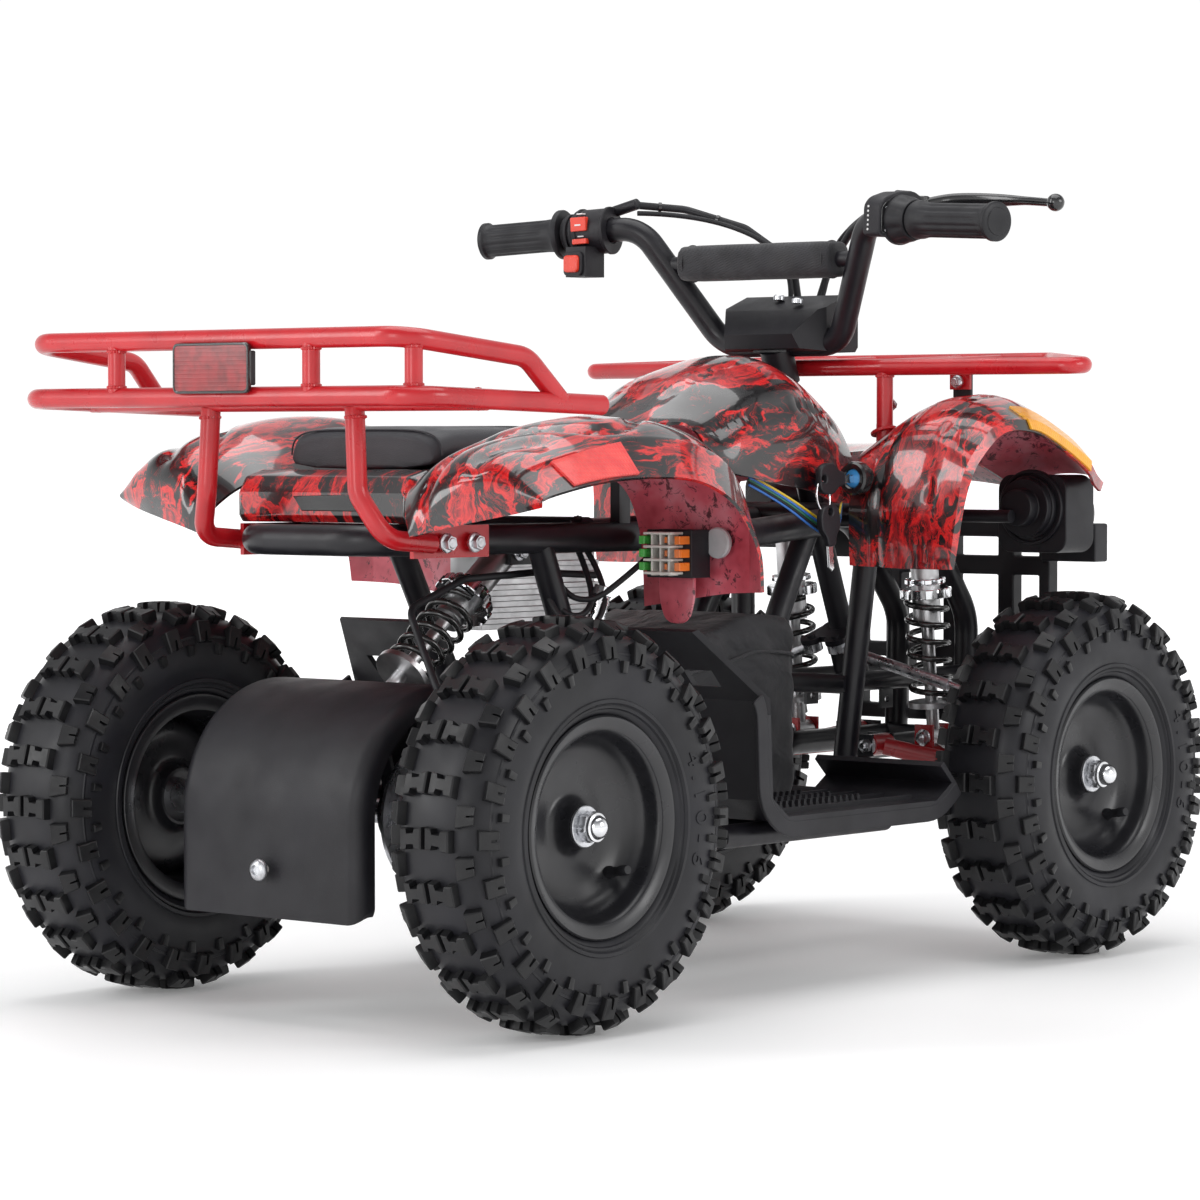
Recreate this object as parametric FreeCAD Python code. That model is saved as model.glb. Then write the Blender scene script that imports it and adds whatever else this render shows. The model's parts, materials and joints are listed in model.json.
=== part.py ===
import FreeCAD, Part
import math
import os

V = FreeCAD.Vector

# Child's electric quad bike, millimetres.
# +X forward, +Y left, +Z up, origin on the floor midway between the axles.

# Wheels and stance
wheelbase = 700.0
tyre_radius = 165.0
rear_half_track = 223.0
front_half_track = 229.0
flange_radius = 87.0
bead_radius = 76.0
flange_offset = 41.0
rim_wall = 3.0
hub_half = 20.0
tread_rows = 15
axle_radius = 10.0
spindle_radius = 8.0
running_clearance = 0.05
seat_gap = 0.3

axle_height = tyre_radius
rear_x = -wheelbase / 2
front_x = wheelbase / 2
rear_axle = V(rear_x, 0, axle_height)

# Frame tubes
rail_radius = 12.5
strut_radius = 11.0
light_tube_radius = 9.0
rail_y = 80.0
rail_rear_x = -410.0
rail_rear_z = 386.0
rail_front_z = 384.0
rail_bend_x = 60.0
head_y = 40.0
head_x = 232.0
head_z = 392.0
tail_bar_x = -153.0
tail_bar_z = 391.0
head_bar = V(235, 74, 398)
floor_rail_y = 60.0
floor_rail_z = 137.0
floor_rear_x = -96.0
floor_front_x = 240.0
front_tube_y = 40.0
front_tube_x = 452.0
mid_tube_z = 244.0
arm_pivot_y = 66.0
arm_pivot_z = 187.0
arm_pivot_x = (275.0, 412.0)
arm_sleeve_half = 14.0
arm_tube_y = 44.0
arm_tube_z = 183.0
tab_hole_radius = 3.3
tab_thickness = 3.0

# Steering column
column_top = V(205, 0, 554)
column_bottom = V(310, 0, 285)
column_axis = (column_top - column_bottom).normalize()
column_radius = 11.0
sleeve_wall = 5.0
pitman_reach = 30.0
pitman_half_span = 14.0
pitman_z = 292.0
rod_end_radius = 9.0

# Front suspension and knuckles
kingpin_y = 176.0
kingpin_radius = 7.0
knuckle_eye = V(300, 155, 236)
shock_top = V(326, 78, 395)
shock_foot = V(346, 78, 191)
shock_radius = 13.0
spring_radius = 21.0
spring_wire = 2.8

# Rear suspension
swing_pivot = V(-143, 0, 165)
swing_y = 62.0
swing_radius = 11.0
rear_shock_foot = V(-318, 0, 256)
rear_shock_top = V(-168, 0, 372)
guard_radius = 105.0
guard_half_width = 102.0
guard_wall = 2.5
guard_bottom_z = 85.0
guard_front = 82
guard_depth = 18.0
guard_round = 14.0
guard_hole_z = 124.0
motor_x = -228.0
motor_z = 197.0
motor_radius = 46.0
motor_half_length = 46.0
sprocket_y = 84.0
sprocket_radius = 66.0
drive_sprocket_radius = 13.0
chain_height = 8.0
chain_width = 6.0
disc_radius = 60.0
disc_y = -84.0

# Handlebar
bar_radius = 11.0
bar_end = V(138, 294, 653)
bar_bend = V(171, 131, 662)
bar_foot = V(216, 66, 553)
grip_radius = 15.5

# Racks
rack_tube = 8.0
rack_light_tube = 6.0
rear_rack_x = -514.0
rear_rack_z = 500.0
rear_rack_top_z = 545.0
rear_rack_half_width = 218.0
rear_rack_front = V(-305, 224, 494)
rack_cross_x = -436.0
rack_upright_y = 108.0
reflector_y = -10.0
front_rack_tube = 7.5
front_rack_z = 532.0
front_post_foot = 478.0

# Lamps and bumper
lamp_y = 150.0
lamp_z = 404.0
lamp_bar_x = 367.0
lamp_bar_radius = 6.0
bumper_x = 478.0

# Bodywork and seat
skin = 3.0
wing_inner_y = 88.0
deck_z = 441.0
seat_rear_x = -346.0
seat_front_x = -4.0
seat_half_width = 84.0
seat_top_z = 478.0

# Footrests and battery
foot_inner_y = 97.0
foot_outer_y = 235.0
foot_wall = 5.0
foot_z = 149.0
bag_rear_x = -84.0
bag_front_x = 134.0
bag_half_width = 86.0


def mirrored(shape):
    return shape.mirror(V(0, 0, 0), V(0, 1, 0))


def both_sides(shape):
    return [shape, mirrored(shape)]


def joined(shapes):
    whole = shapes[0]
    for shape in shapes[1:]:
        whole = whole.fuse(shape)
    merged = whole.removeSplitter()
    return merged if merged.isValid() else whole


def moved(shape, shift):
    copy = shape.copy()
    copy.translate(shift)
    return copy


def main_solid(shape):
    return max(shape.Solids, key=lambda solid: solid.Volume)


def box(low, high):
    return Part.makeBox(high[0] - low[0], high[1] - low[1], high[2] - low[2], V(*low))


def rod(start, end, radius):
    run = end - start
    return Part.makeCylinder(radius, run.Length, start, run)


def ring(start, end, outer, inner):
    return rod(start, end, outer).cut(rod(start, end, inner))


def path_of(points, bend):
    """Straight runs joined by tangent arcs of one bend radius."""
    edges = []
    at = points[0]
    for corner, after in zip(points[1:-1], points[2:]):
        come = (corner - at).normalize()
        go = (after - corner).normalize()
        turn = come.getAngle(go)
        reach = bend * math.tan(turn / 2)
        start = corner - come * reach
        end = corner + go * reach
        inward = (go - come).normalize()
        middle = corner + inward * (bend / math.cos(turn / 2) - bend)
        edges.append(Part.LineSegment(at, start).toShape())
        edges.append(Part.Arc(start, middle, end).toShape())
        at = end
    edges.append(Part.LineSegment(at, points[-1]).toShape())
    return Part.Wire(edges)


def bent_tube(points, radius, bend):
    path = path_of(points, bend)
    circle = Part.Circle(points[0], points[1] - points[0], radius)
    return path.makePipeShell([Part.Wire(circle.toShape())], True, False)


def slab(outline, low_y, high_y):
    """A closed outline of (x, z) points carried from low_y to high_y."""
    points = [V(x, low_y, z) for x, z in outline]
    face = Part.Face(Part.makePolygon(points + points[:1]))
    return face.extrude(V(0, high_y - low_y, 0))


def plan_slab(outline, low_z, high_z):
    """A closed outline of (x, y) points carried from low_z to high_z."""
    points = [V(x, y, low_z) for x, y in outline]
    face = Part.Face(Part.makePolygon(points + points[:1]))
    return face.extrude(V(0, 0, high_z - low_z))


def turned(outline, centre, outward):
    """A closed outline of (across, radius) points turned about a wheel axis."""
    points = [V(centre.x, centre.y + across * outward, centre.z + radius) for across, radius in outline]
    face = Part.Face(Part.makePolygon(points + points[:1]))
    return face.revolve(centre, V(0, 1, 0), 360)


def surface_through(grid):
    surface = Part.BSplineSurface()
    surface.interpolate(grid)
    return surface.toShape()


def point_normal(grid, row, column):
    rows = len(grid) - 1
    columns = len(grid[0]) - 1
    along = grid[min(row + 1, rows)][column] - grid[max(row - 1, 0)][column]
    across = grid[row][min(column + 1, columns)] - grid[row][max(column - 1, 0)]
    return along.cross(across).normalize()


def edge_near(face, first, last):
    corners = {(round(p.x, 2), round(p.y, 2), round(p.z, 2)) for p in (first, last)}
    for edge in face.Edges:
        ends = {(round(v.X, 2), round(v.Y, 2), round(v.Z, 2)) for v in edge.Vertexes}
        if ends == corners:
            return edge
    raise ValueError("no edge joins %s and %s" % (first, last))


def panel(points, thickness, inward=1):
    """A moulded sheet through a grid of points, with the same grid set back by its thickness."""
    outer_grid = [[V(*p) for p in row] for row in points]
    inner_grid = []
    for row in range(len(outer_grid)):
        inner_row = []
        for column in range(len(outer_grid[0])):
            normal = point_normal(outer_grid, row, column)
            inner_row.append(outer_grid[row][column] + normal * thickness * inward)
        inner_grid.append(inner_row)
    outer = surface_through(outer_grid)
    inner = surface_through(inner_grid)
    faces = [outer, inner]
    corners = [(0, 0), (0, -1), (-1, -1), (-1, 0)]
    for a, b in zip(corners, corners[1:] + corners[:1]):
        top = edge_near(outer, outer_grid[a[0]][a[1]], outer_grid[b[0]][b[1]])
        low = edge_near(inner, inner_grid[a[0]][a[1]], inner_grid[b[0]][b[1]])
        faces.append(Part.makeRuledSurface(top, low))
    sheet = Part.makeCompound(faces)
    sheet.sewShape()
    solid = Part.makeSolid(sheet.Shells[0])
    if solid.Volume < 0:
        solid.reverse()
    return solid


# Frame, in five groups of tubes. Each group is cut back from the tubes that it is welded to.

def rail_loop(grow=0.0):
    """One tube from the head, back round the tail and forward to the head again."""
    loop = [V(head_x, head_y, head_z), V(rail_bend_x, rail_y, rail_front_z)]
    loop.append(V(rail_rear_x, rail_y, rail_rear_z))
    loop += [V(p.x, -p.y, p.z) for p in reversed(loop)]
    return bent_tube(loop, rail_radius + grow, 45)


def rail_bars(grow=0.0):
    """The loop's two cross bars: the rear shock's and the steering head's."""
    tail = V(tail_bar_x, rail_y, tail_bar_z)
    return [rod(V(end.x, -end.y, end.z), end, strut_radius + grow) for end in (tail, head_bar)]


def seat_rails(grow=0.0):
    return [rail_loop(grow)] + rail_bars(grow)


def make_frame():
    """The seat rails' loop with the posts under the deck."""
    posts = []
    for x in (-330.0, -110.0):
        post = box((x - 7, rail_y - 5, rail_rear_z), (x + 7, rail_y + 5, deck_z - skin - seat_gap))
        posts += both_sides(post)
    return joined([rail_loop()] + posts)


def shock_ears():
    """The rear shock's two ears, under the first cross bar."""
    ears = []
    for side in (1, -1):
        low = V(rear_shock_top.x - 11, side * 15.6 - 2, rear_shock_top.z - 11)
        ears.append(box((low.x, low.y, low.z), (low.x + 26, low.y + 4, low.z + 26)))
    return ears


def floor_tubes(grow=0.0):
    """The two long floor tubes that rise to carry the arms, their cross tubes and the footrest bearers."""
    radius = strut_radius + grow
    points = [V(floor_rear_x, floor_rail_y, floor_rail_z), V(floor_front_x, floor_rail_y, floor_rail_z)]
    points += [V(278, arm_tube_y, arm_tube_z), V(front_tube_x - 12, arm_tube_y, arm_tube_z)]
    parts = both_sides(bent_tube(points, radius, 30))
    for x in (floor_rear_x, 80.0, floor_front_x):
        parts.append(rod(V(x, -floor_rail_y, floor_rail_z), V(x, floor_rail_y, floor_rail_z), radius))
    nose_x = front_tube_x - 14
    parts.append(rod(V(nose_x, -arm_tube_y, arm_tube_z), V(nose_x, arm_tube_y, arm_tube_z), radius))
    bearer = light_tube_radius + 1
    z = foot_z - seat_gap - bearer
    outer = foot_outer_y - 30
    for x in (-60.0, 86.0):
        parts.append(rod(V(x, -outer, z), V(x, outer, z), light_tube_radius + grow))
    parts += both_sides(rod(V(-132, outer, z), V(96, outer, z), bearer + grow))
    return parts


def make_frame_floor():
    floor_low = floor_rail_z + strut_radius - 1
    parts = [box((bag_rear_x, -floor_rail_y, floor_low), (bag_front_x, floor_rail_y, floor_low + 3))]
    for x in arm_pivot_x:
        for shift in (-arm_sleeve_half - seat_gap - 3, arm_sleeve_half + seat_gap):
            lug = box((x + shift, arm_tube_y, 177), (x + shift + 3, arm_pivot_y + 6, 197))
            parts += both_sides(lug)
    return joined(floor_tubes() + parts)


def upright_tubes(grow=0.0):
    """The left rear strut, front upright and brace, and the tube that joins the braces."""
    rear_foot = V(floor_rear_x, floor_rail_y + 6, floor_rail_z)
    radius = strut_radius + grow
    rear = rod(rear_foot, V(-216, rail_y, rail_rear_z - 2), radius)
    front = rod(V(232, floor_rail_y - 4, floor_rail_z), V(252, head_bar.y, head_bar.z), radius)
    brace = bent_tube([V(146, 44, floor_rail_z), V(148, 44, 300), V(206, head_y, head_z)], radius, 60)
    cross = rod(V(146, -44, 300), V(146, 44, 300), light_tube_radius + grow)
    return rear, front, brace, cross


def make_frame_uprights():
    rear, front, brace, cross = upright_tubes()
    ear = box((swing_pivot.x - 13, swing_y + 13.3, 148), (swing_pivot.x + 34, swing_y + 18.3, 184))
    groups = both_sides(joined([rear, ear])) + both_sides(front) + [joined(both_sides(brace) + [cross])]
    carriers = Part.makeCompound(seat_rails(seat_gap) + floor_tubes(seat_gap))
    return Part.makeCompound([main_solid(group.cut(carriers)) for group in groups])


def nose_tubes(grow=0.0):
    """The left nose tube, bent down over the front, and the level tube half way up."""
    nose = [V(240, front_tube_y + 4, 398), V(378, front_tube_y + 2, 392), V(front_tube_x, front_tube_y, 300)]
    nose += [V(front_tube_x - 4, front_tube_y, arm_tube_z)]
    start, end = V(246, front_tube_y + 2, mid_tube_z), V(front_tube_x, front_tube_y, mid_tube_z)
    return [bent_tube(nose, strut_radius + grow, 50), rod(start, end, light_tube_radius + grow)]


def make_frame_nose():
    """Both nose tubes, each with its bumper bracket and two drilled tabs."""
    bracket = box((front_tube_x - 6, front_tube_y - 3, 226), (bumper_x - seat_gap, front_tube_y + 3, 262))
    parts = nose_tubes() + [bracket]
    for x in (262.0, 318.0):
        tab_y = front_tube_y + 2
        tab = box((x - 9, tab_y, mid_tube_z - 26), (x + 9, tab_y + tab_thickness, mid_tube_z))
        hole_start = V(x, tab_y - 1, mid_tube_z - 18)
        hole = rod(hole_start, hole_start + V(0, tab_thickness + 2, 0), tab_hole_radius)
        parts.append(tab.cut(hole))
    front = upright_tubes(seat_gap)[1]
    carriers = seat_rails(seat_gap) + floor_tubes(seat_gap) + both_sides(front)
    side = main_solid(joined(parts).cut(Part.makeCompound(carriers)))
    return Part.makeCompound(both_sides(side))


def column_point(level):
    share = (level - column_bottom.z) / (column_top.z - column_bottom.z)
    return column_bottom + (column_top - column_bottom) * share


def column_sleeves():
    """Upper and lower bearings that carry the steering column."""
    outer = column_radius + sleeve_wall
    bore = rod(column_bottom - column_axis * 60, column_top, column_radius + running_clearance)
    parts = []
    for level, bearer in ((396.0, head_bar.z), (260.0, mid_tube_z)):
        middle = column_point(level)
        half = column_axis * 13
        reach = front_tube_y + 2
        plate = box((middle.x - 17, -reach, bearer - 3), (middle.x + 17, reach, bearer + 2))
        parts.append(joined([rod(middle - half, middle + half, outer), plate]).cut(bore))
    return parts


def shock_bar():
    """The tube over the nose with the ears of both front shocks."""
    top = shock_top
    end = V(top.x, top.y + 10, top.z + 20)
    parts = [rod(V(end.x, -end.y, end.z), end, light_tube_radius)]
    parts += both_sides(box((top.x - 17, top.y - 11, top.z + 9.5), (top.x + 17, top.y + 11, top.z + 13)))
    parts += both_sides(box((top.x - 6, front_tube_y - 4, top.z), (top.x + 6, front_tube_y + 6, top.z + 18)))
    for shift in (-17, 14):
        ear = box((top.x + shift, top.y - 11, top.z - 10), (top.x + shift + 3, top.y + 11, top.z + 13))
        parts += both_sides(ear)
    return joined(parts)


def make_frame_cross():
    """What spans the frame: the rails' bars, the column's bearings, the shock, lamp and middle bars."""
    tail_bar, head_cross = rail_bars()
    loop = rail_loop(seat_gap)
    spans = [joined([tail_bar] + shock_ears()).cut(loop), head_cross.cut(loop)]
    parts = column_sleeves() + [shock_bar()]
    parts.append(rod(V(lamp_bar_x, -lamp_y, 396), V(lamp_bar_x, lamp_y, 396), lamp_bar_radius))
    parts.append(rod(V(234, -64, mid_tube_z), V(234, 64, mid_tube_z), light_tube_radius))
    carriers = seat_rails(seat_gap) + both_sides(upright_tubes(seat_gap)[1])
    for tube in nose_tubes(seat_gap):
        carriers += both_sides(tube)
    carriers = Part.makeCompound(carriers)
    solids = [main_solid(span) for span in spans]
    solids += [solid for part in parts for solid in part.cut(carriers).Solids]
    return Part.makeCompound(solids)


# Swingarm, motor, shocks and chain

def make_swingarm():
    arms = []
    for side in (1, -1):
        y = side * swing_y
        arms.append(rod(V(swing_pivot.x, y, axle_height), V(rear_x, y, axle_height), swing_radius))
        arms.append(rod(V(rear_x, y - 13, axle_height), V(rear_x, y + 13, axle_height), 28))
        gusset = [(-330, axle_height), (-262, axle_height), (-292, 236), (-312, 236)]
        arms.append(slab(gusset, y - 2, y + 2))
        stay = [(-362, axle_height + 8), (-340, axle_height + 8), (-366, 263), (-392, 255)]
        arms.append(slab(stay, y - 2, y + 2))
        ear_y = side * 14.5
        ear = [(-309, 218), (-291, 218), (-307, 266), (-329, 266)]
        arms.append(slab(ear, ear_y - 2, ear_y + 2))
    arms.append(rod(V(-300, -swing_y, 228), V(-300, swing_y, 228), light_tube_radius))
    reach = V(0, swing_y + 13, 0)
    arms.append(rod(swing_pivot - reach, swing_pivot + reach, 14))
    plate = box((motor_x - 34, motor_half_length + seat_gap, 156), (motor_x + 34, swing_y - 8, motor_z + 38))
    shaft_hole = rod(V(motor_x, 0, motor_z), V(motor_x, swing_y, motor_z), 12)
    arms.append(plate.cut(shaft_hole))
    solid = joined(arms)
    bore = rod(V(rear_x, -100, axle_height), V(rear_x, 100, axle_height), axle_radius + running_clearance)
    inside = rod(V(rear_x, -guard_half_width, axle_height), V(rear_x, guard_half_width, axle_height),
                 guard_radius - guard_wall - seat_gap)
    keep = inside.fuse(box((-352, -100, 100), (0, 100, 300)))
    return solid.cut(bore).common(keep)


def make_motor():
    body = rod(V(motor_x, -motor_half_length, motor_z), V(motor_x, motor_half_length, motor_z), motor_radius)
    shaft = rod(V(motor_x, motor_half_length - 1, motor_z), V(motor_x, sprocket_y + 5, motor_z), 6)
    near, far = sprocket_y - 2, sprocket_y + 2
    pinion = rod(V(motor_x, near, motor_z), V(motor_x, far, motor_z), drive_sprocket_radius)
    return joined([body, shaft, pinion])


def guard_form(radius, depth, half_width):
    """A block that follows the axle from over it to straight down behind it."""
    c = V(rear_x, -half_width, axle_height)

    def on(reach, degrees):
        a = math.radians(degrees)
        return V(c.x + reach * math.cos(a), c.y, c.z + reach * math.sin(a))

    inner = radius - depth
    foot_out = V(c.x - radius, c.y, guard_bottom_z)
    foot_in = V(c.x - inner, c.y, guard_bottom_z)
    edges = [Part.Arc(on(radius, guard_front), on(radius, 131), on(radius, 180)).toShape()]
    edges.append(Part.LineSegment(on(radius, 180), foot_out).toShape())
    edges.append(Part.LineSegment(foot_out, foot_in).toShape())
    edges.append(Part.LineSegment(foot_in, on(inner, 180)).toShape())
    edges.append(Part.Arc(on(inner, 180), on(inner, 131), on(inner, guard_front)).toShape())
    edges.append(Part.LineSegment(on(inner, guard_front), on(radius, guard_front)).toShape())
    return Part.Face(Part.Wire(edges)).extrude(V(0, 2 * half_width, 0))


def rounded_sides(form, radius, fillet):
    """Rounds the form's outer side edges, which lie at one distance from the axle."""
    edges = []
    for edge in form.Edges:
        middle = edge.valueAt((edge.FirstParameter + edge.LastParameter) / 2)
        level = max(middle.z, axle_height)
        reach = math.hypot(middle.x - rear_x, level - axle_height)
        if edge.BoundBox.YLength < 1 and abs(reach - radius) < 0.5 and edge.Length > 30:
            edges.append(edge)
    return form.makeFillet(fillet, edges)


def make_guard():
    """The axle guard: one moulded sheet with rounded side edges, open towards the axle."""
    outer = rounded_sides(guard_form(guard_radius, guard_depth, guard_half_width), guard_radius, guard_round)
    w = guard_wall
    inner = guard_form(guard_radius - w, guard_depth, guard_half_width - w)
    inner = rounded_sides(inner, guard_radius - w, guard_round - w)
    sheet = outer.cut(inner)
    r = guard_round
    through = V(guard_depth + 2, 0, 0)
    corner = V(rear_x - guard_radius - 1, guard_half_width - r, guard_bottom_z + r)
    notch = box((corner.x, corner.y, guard_bottom_z - 1), (corner.x + through.x, guard_half_width + 1, corner.z))
    for cutter in both_sides(notch.cut(rod(corner, corner + through, r))):
        sheet = sheet.cut(cutter)
    hole_x = rear_x - guard_radius
    return sheet.cut(rod(V(hole_x - 5, 0, guard_hole_z), V(hole_x + 5, 0, guard_hole_z), 3))


def make_chain():
    """The closed chain loop round both sprockets."""
    def loop(extra):
        big = sprocket_radius + extra
        small = drive_sprocket_radius + extra
        c1 = V(rear_x, 0, axle_height)
        c2 = V(motor_x, 0, motor_z)
        run = c2 - c1
        base = math.atan2(run.z, run.x)
        lean = math.acos((big - small) / run.Length)

        def on(c, r, a):
            return V(c.x + r * math.cos(a), sprocket_y - chain_width / 2, c.z + r * math.sin(a))

        top1, top2 = on(c1, big, base + lean), on(c2, small, base + lean)
        low1, low2 = on(c1, big, base - lean), on(c2, small, base - lean)
        back = on(c1, big, base + math.pi)
        nose = on(c2, small, base)
        edges = [Part.LineSegment(top1, top2).toShape(), Part.Arc(top2, nose, low2).toShape()]
        edges += [Part.LineSegment(low2, low1).toShape(), Part.Arc(low1, back, top1).toShape()]
        return Part.Face(Part.Wire(edges))

    band = loop(0.6 + chain_height).cut(loop(0.6))
    return band.extrude(V(0, chain_width, 0))


def shock_body(foot, top, body_radius, seat_radius, eye_axis):
    """Damper with an eye at each end and the two spring seats."""
    run = top - foot
    axis = V(run.x, run.y, run.z).normalize()
    length = run.Length

    def at(distance):
        return foot + axis * distance

    parts = [rod(at(6), at(length * 0.6), 6)]
    parts.append(rod(at(length * 0.52), at(length - 6), body_radius))
    parts.append(rod(at(length * 0.14), at(length * 0.14 + 5), seat_radius))
    parts.append(rod(at(length * 0.64), at(length * 0.64 + 8), seat_radius))
    for end in (foot, top):
        parts.append(rod(end - eye_axis * 12, end + eye_axis * 12, 9))
    return joined(parts)


def spring_between(foot, top, coils):
    """A coil of round wire between the two spring seats."""
    run = top - foot
    axis = V(run.x, run.y, run.z).normalize()
    start = foot + axis * (run.Length * 0.14 + 5.4)
    end = foot + axis * (run.Length * 0.64 - 0.4)
    helix = Part.makeHelix((end - start).Length / coils - 0.2, (end - start).Length - 2 * spring_wire - 0.2,
                           spring_radius - spring_wire)
    circle = Part.Circle(V(spring_radius - spring_wire, 0, 0), V(0, 1, 0), spring_wire)
    coil = Part.Wire(helix).makePipeShell([Part.Wire(circle.toShape())], True, True)
    coil.translate(V(0, 0, spring_wire + 0.1))
    turn = FreeCAD.Rotation(V(0, 0, 1), axis)
    coil.Placement = FreeCAD.Placement(start, turn).multiply(coil.Placement)
    return coil


def front_shock(side):
    shape = shock_body(shock_foot, shock_top, shock_radius, spring_radius + 1, V(1, 0, 0))
    return shape if side > 0 else mirrored(shape)


# Front arms and knuckles

def front_arm():
    """The left A-arm: two legs, the pivot sleeves, the kingpin sleeve and the shock's bracket."""
    tip = V(front_x, kingpin_y - 8, 160)
    parts = []
    half = V(arm_sleeve_half, 0, 0)
    for x in arm_pivot_x:
        pivot = V(x, arm_pivot_y, arm_pivot_z)
        leg = rod(pivot, V(front_x + (x - front_x) * 0.12, tip.y, tip.z), 8)
        parts.append(leg)
        parts.append(rod(pivot - half, pivot + half, 10))
    parts.append(box((290, 70, 168), (400, 92, 172)))
    for shift in (-16.0, 13.0):
        ear = box((shock_foot.x + shift, 68, 169), (shock_foot.x + shift + 3, 88, 203))
        parts.append(ear)
    parts.append(rod(V(front_x, kingpin_y, 143), V(front_x, kingpin_y, 177), 14))
    bore = rod(V(front_x, kingpin_y, 100), V(front_x, kingpin_y, 220), kingpin_radius + running_clearance)
    return joined(parts).cut(bore)


def knuckle():
    """The left knuckle: fork, kingpin, spindle with its nut, brake plate and steering arm."""
    x = front_x
    y = kingpin_y
    parts = [rod(V(x, y, 128), V(x, y, 200), kingpin_radius)]
    parts.append(box((x - 13, y - 9, 180), (x + 13, y + 22, 186)))
    parts.append(box((x - 13, y - 9, 134), (x + 13, y + 22, 140)))
    parts.append(box((x - 16, y + 16.5, 134), (x + 16, y + 22, 186)))
    parts.append(rod(V(x, y + 21, axle_height), V(x, y + 28, axle_height), 44))
    hub_in = front_half_track - hub_half
    parts.append(rod(V(x, y + 20, axle_height), V(x, hub_in - 0.4, axle_height), 12))
    nut_in = front_half_track + hub_half + 0.4
    parts.append(rod(V(x, y + 20, axle_height), V(x, nut_in + 4, axle_height), spindle_radius))
    parts += axle_nut(V(x, nut_in, axle_height), 46 - hub_half - 0.4)
    boss_top = knuckle_eye.z - 6.2
    eye = V(knuckle_eye.x, knuckle_eye.y, boss_top)
    parts.append(rod(V(eye.x, eye.y, boss_top - 7), eye, rod_end_radius))
    parts.append(rod(V(x - 4, y, 184), V(eye.x + 3, eye.y + 1, boss_top - 4), 5))
    return joined(parts)


def axle_nut(base, length):
    """A hexagon nut and its domed cap, pointing out to the left."""
    hexagon = [V(base.x + 12 * math.cos(a), base.y, base.z + 12 * math.sin(a))
               for a in [math.radians(60 * k) for k in range(6)]]
    nut = Part.Face(Part.makePolygon(hexagon + hexagon[:1])).extrude(V(0, length * 0.45, 0))
    washer = rod(base, base + V(0, 2, 0), 15)
    neck = rod(base, base + V(0, length - 9, 0), 9)
    dome = Part.makeSphere(9, base + V(0, length - 9, 0))
    return [nut, washer, neck, dome]


def tie_rod():
    """The left tie rod, from above the pitman plate to above the knuckle's arm."""
    inner = pitman_eye(1) - column_axis * (2.8 + 4)
    parts = [rod(inner - column_axis * 4, inner + column_axis * 4, rod_end_radius)]
    outer = knuckle_eye
    parts.append(rod(outer - V(0, 0, 4.4), outer + V(0, 0, 4.4), rod_end_radius))
    parts.append(rod(outer, outer + V(0, 0, 9), 4))
    run = (outer - inner).normalize()
    parts.append(rod(inner + run * 6, outer - run * 6, 4.2))
    parts.append(rod(inner + run * 26, outer - run * 26, 5.5))
    bore = rod(inner - column_axis * 10, inner + column_axis * 10, 4 + running_clearance)
    return joined(parts).cut(bore)


def pitman_eye(side):
    back = V(-column_axis.z, 0, column_axis.x)
    return column_point(pitman_z) + back * pitman_reach + V(0, side * pitman_half_span, 0)


# Wheels

def rim(half_track, axle_x, bore_radius, outward):
    """Deep-dish pressed rim with a hub boss; across is measured outward from the tyre's middle."""
    f = flange_offset
    w = rim_wall
    r = bead_radius
    face = [(f, flange_radius), (f - 1, r + 5), (f - 4, r - 1), (f - 7, r - 2.4), (f - 17, r - 3.8), (18.5, 69)]
    face += [(9.5, 61.5), (4.7, 50), (3.2, 38), (3.2, 27), (8.5, 19.6), (hub_half, 17)]
    hub = [(hub_half, bore_radius), (-hub_half, bore_radius), (-hub_half, 20)]
    back = [(-10, 27), (-6, 38), (-6, 50), (0, 60), (9, 66.5), (6, r - 5.5), (-20, r - 5.5), (-f + 5, r - w)]
    back += [(-f, r + 4), (-f, flange_radius)]
    seat = [(-f + w, flange_radius), (-f + w, r), (-20, r - 1.8)]
    seat += [(-across, radius) for across, radius in reversed(seat)]
    return turned(face + hub + back + seat, V(axle_x, half_track * outward, axle_height), outward)


def tyre_carcass():
    """The tyre's rubber under the knobs, round the origin with its outer side towards +Y."""
    inner = flange_offset - rim_wall - seat_gap
    half = [(inner, bead_radius + seat_gap), (inner, flange_radius + seat_gap), (43.5, 90.5), (45.6, 100)]
    half += [(47.3, 114), (46.6, 127), (43, 139), (38.5, 146.5), (26, 155.3), (0, 157.5)]
    outline = half + [(-a, radius) for a, radius in reversed(half[:-1])]
    return turned(outline, V(0, 0, 0), 1)


def knob(section, degrees, half_length):
    """A block whose (across, radius) section is carried along the tread at one angle round the tyre."""
    a = math.radians(degrees)
    spoke = V(math.cos(a), 0, math.sin(a))
    forward = V(-math.sin(a), 0, math.cos(a))
    points = [spoke * radius + V(0, across, 0) - forward * half_length for across, radius in section]
    return Part.Face(Part.makePolygon(points + points[:1])).extrude(forward * 2 * half_length)


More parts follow.
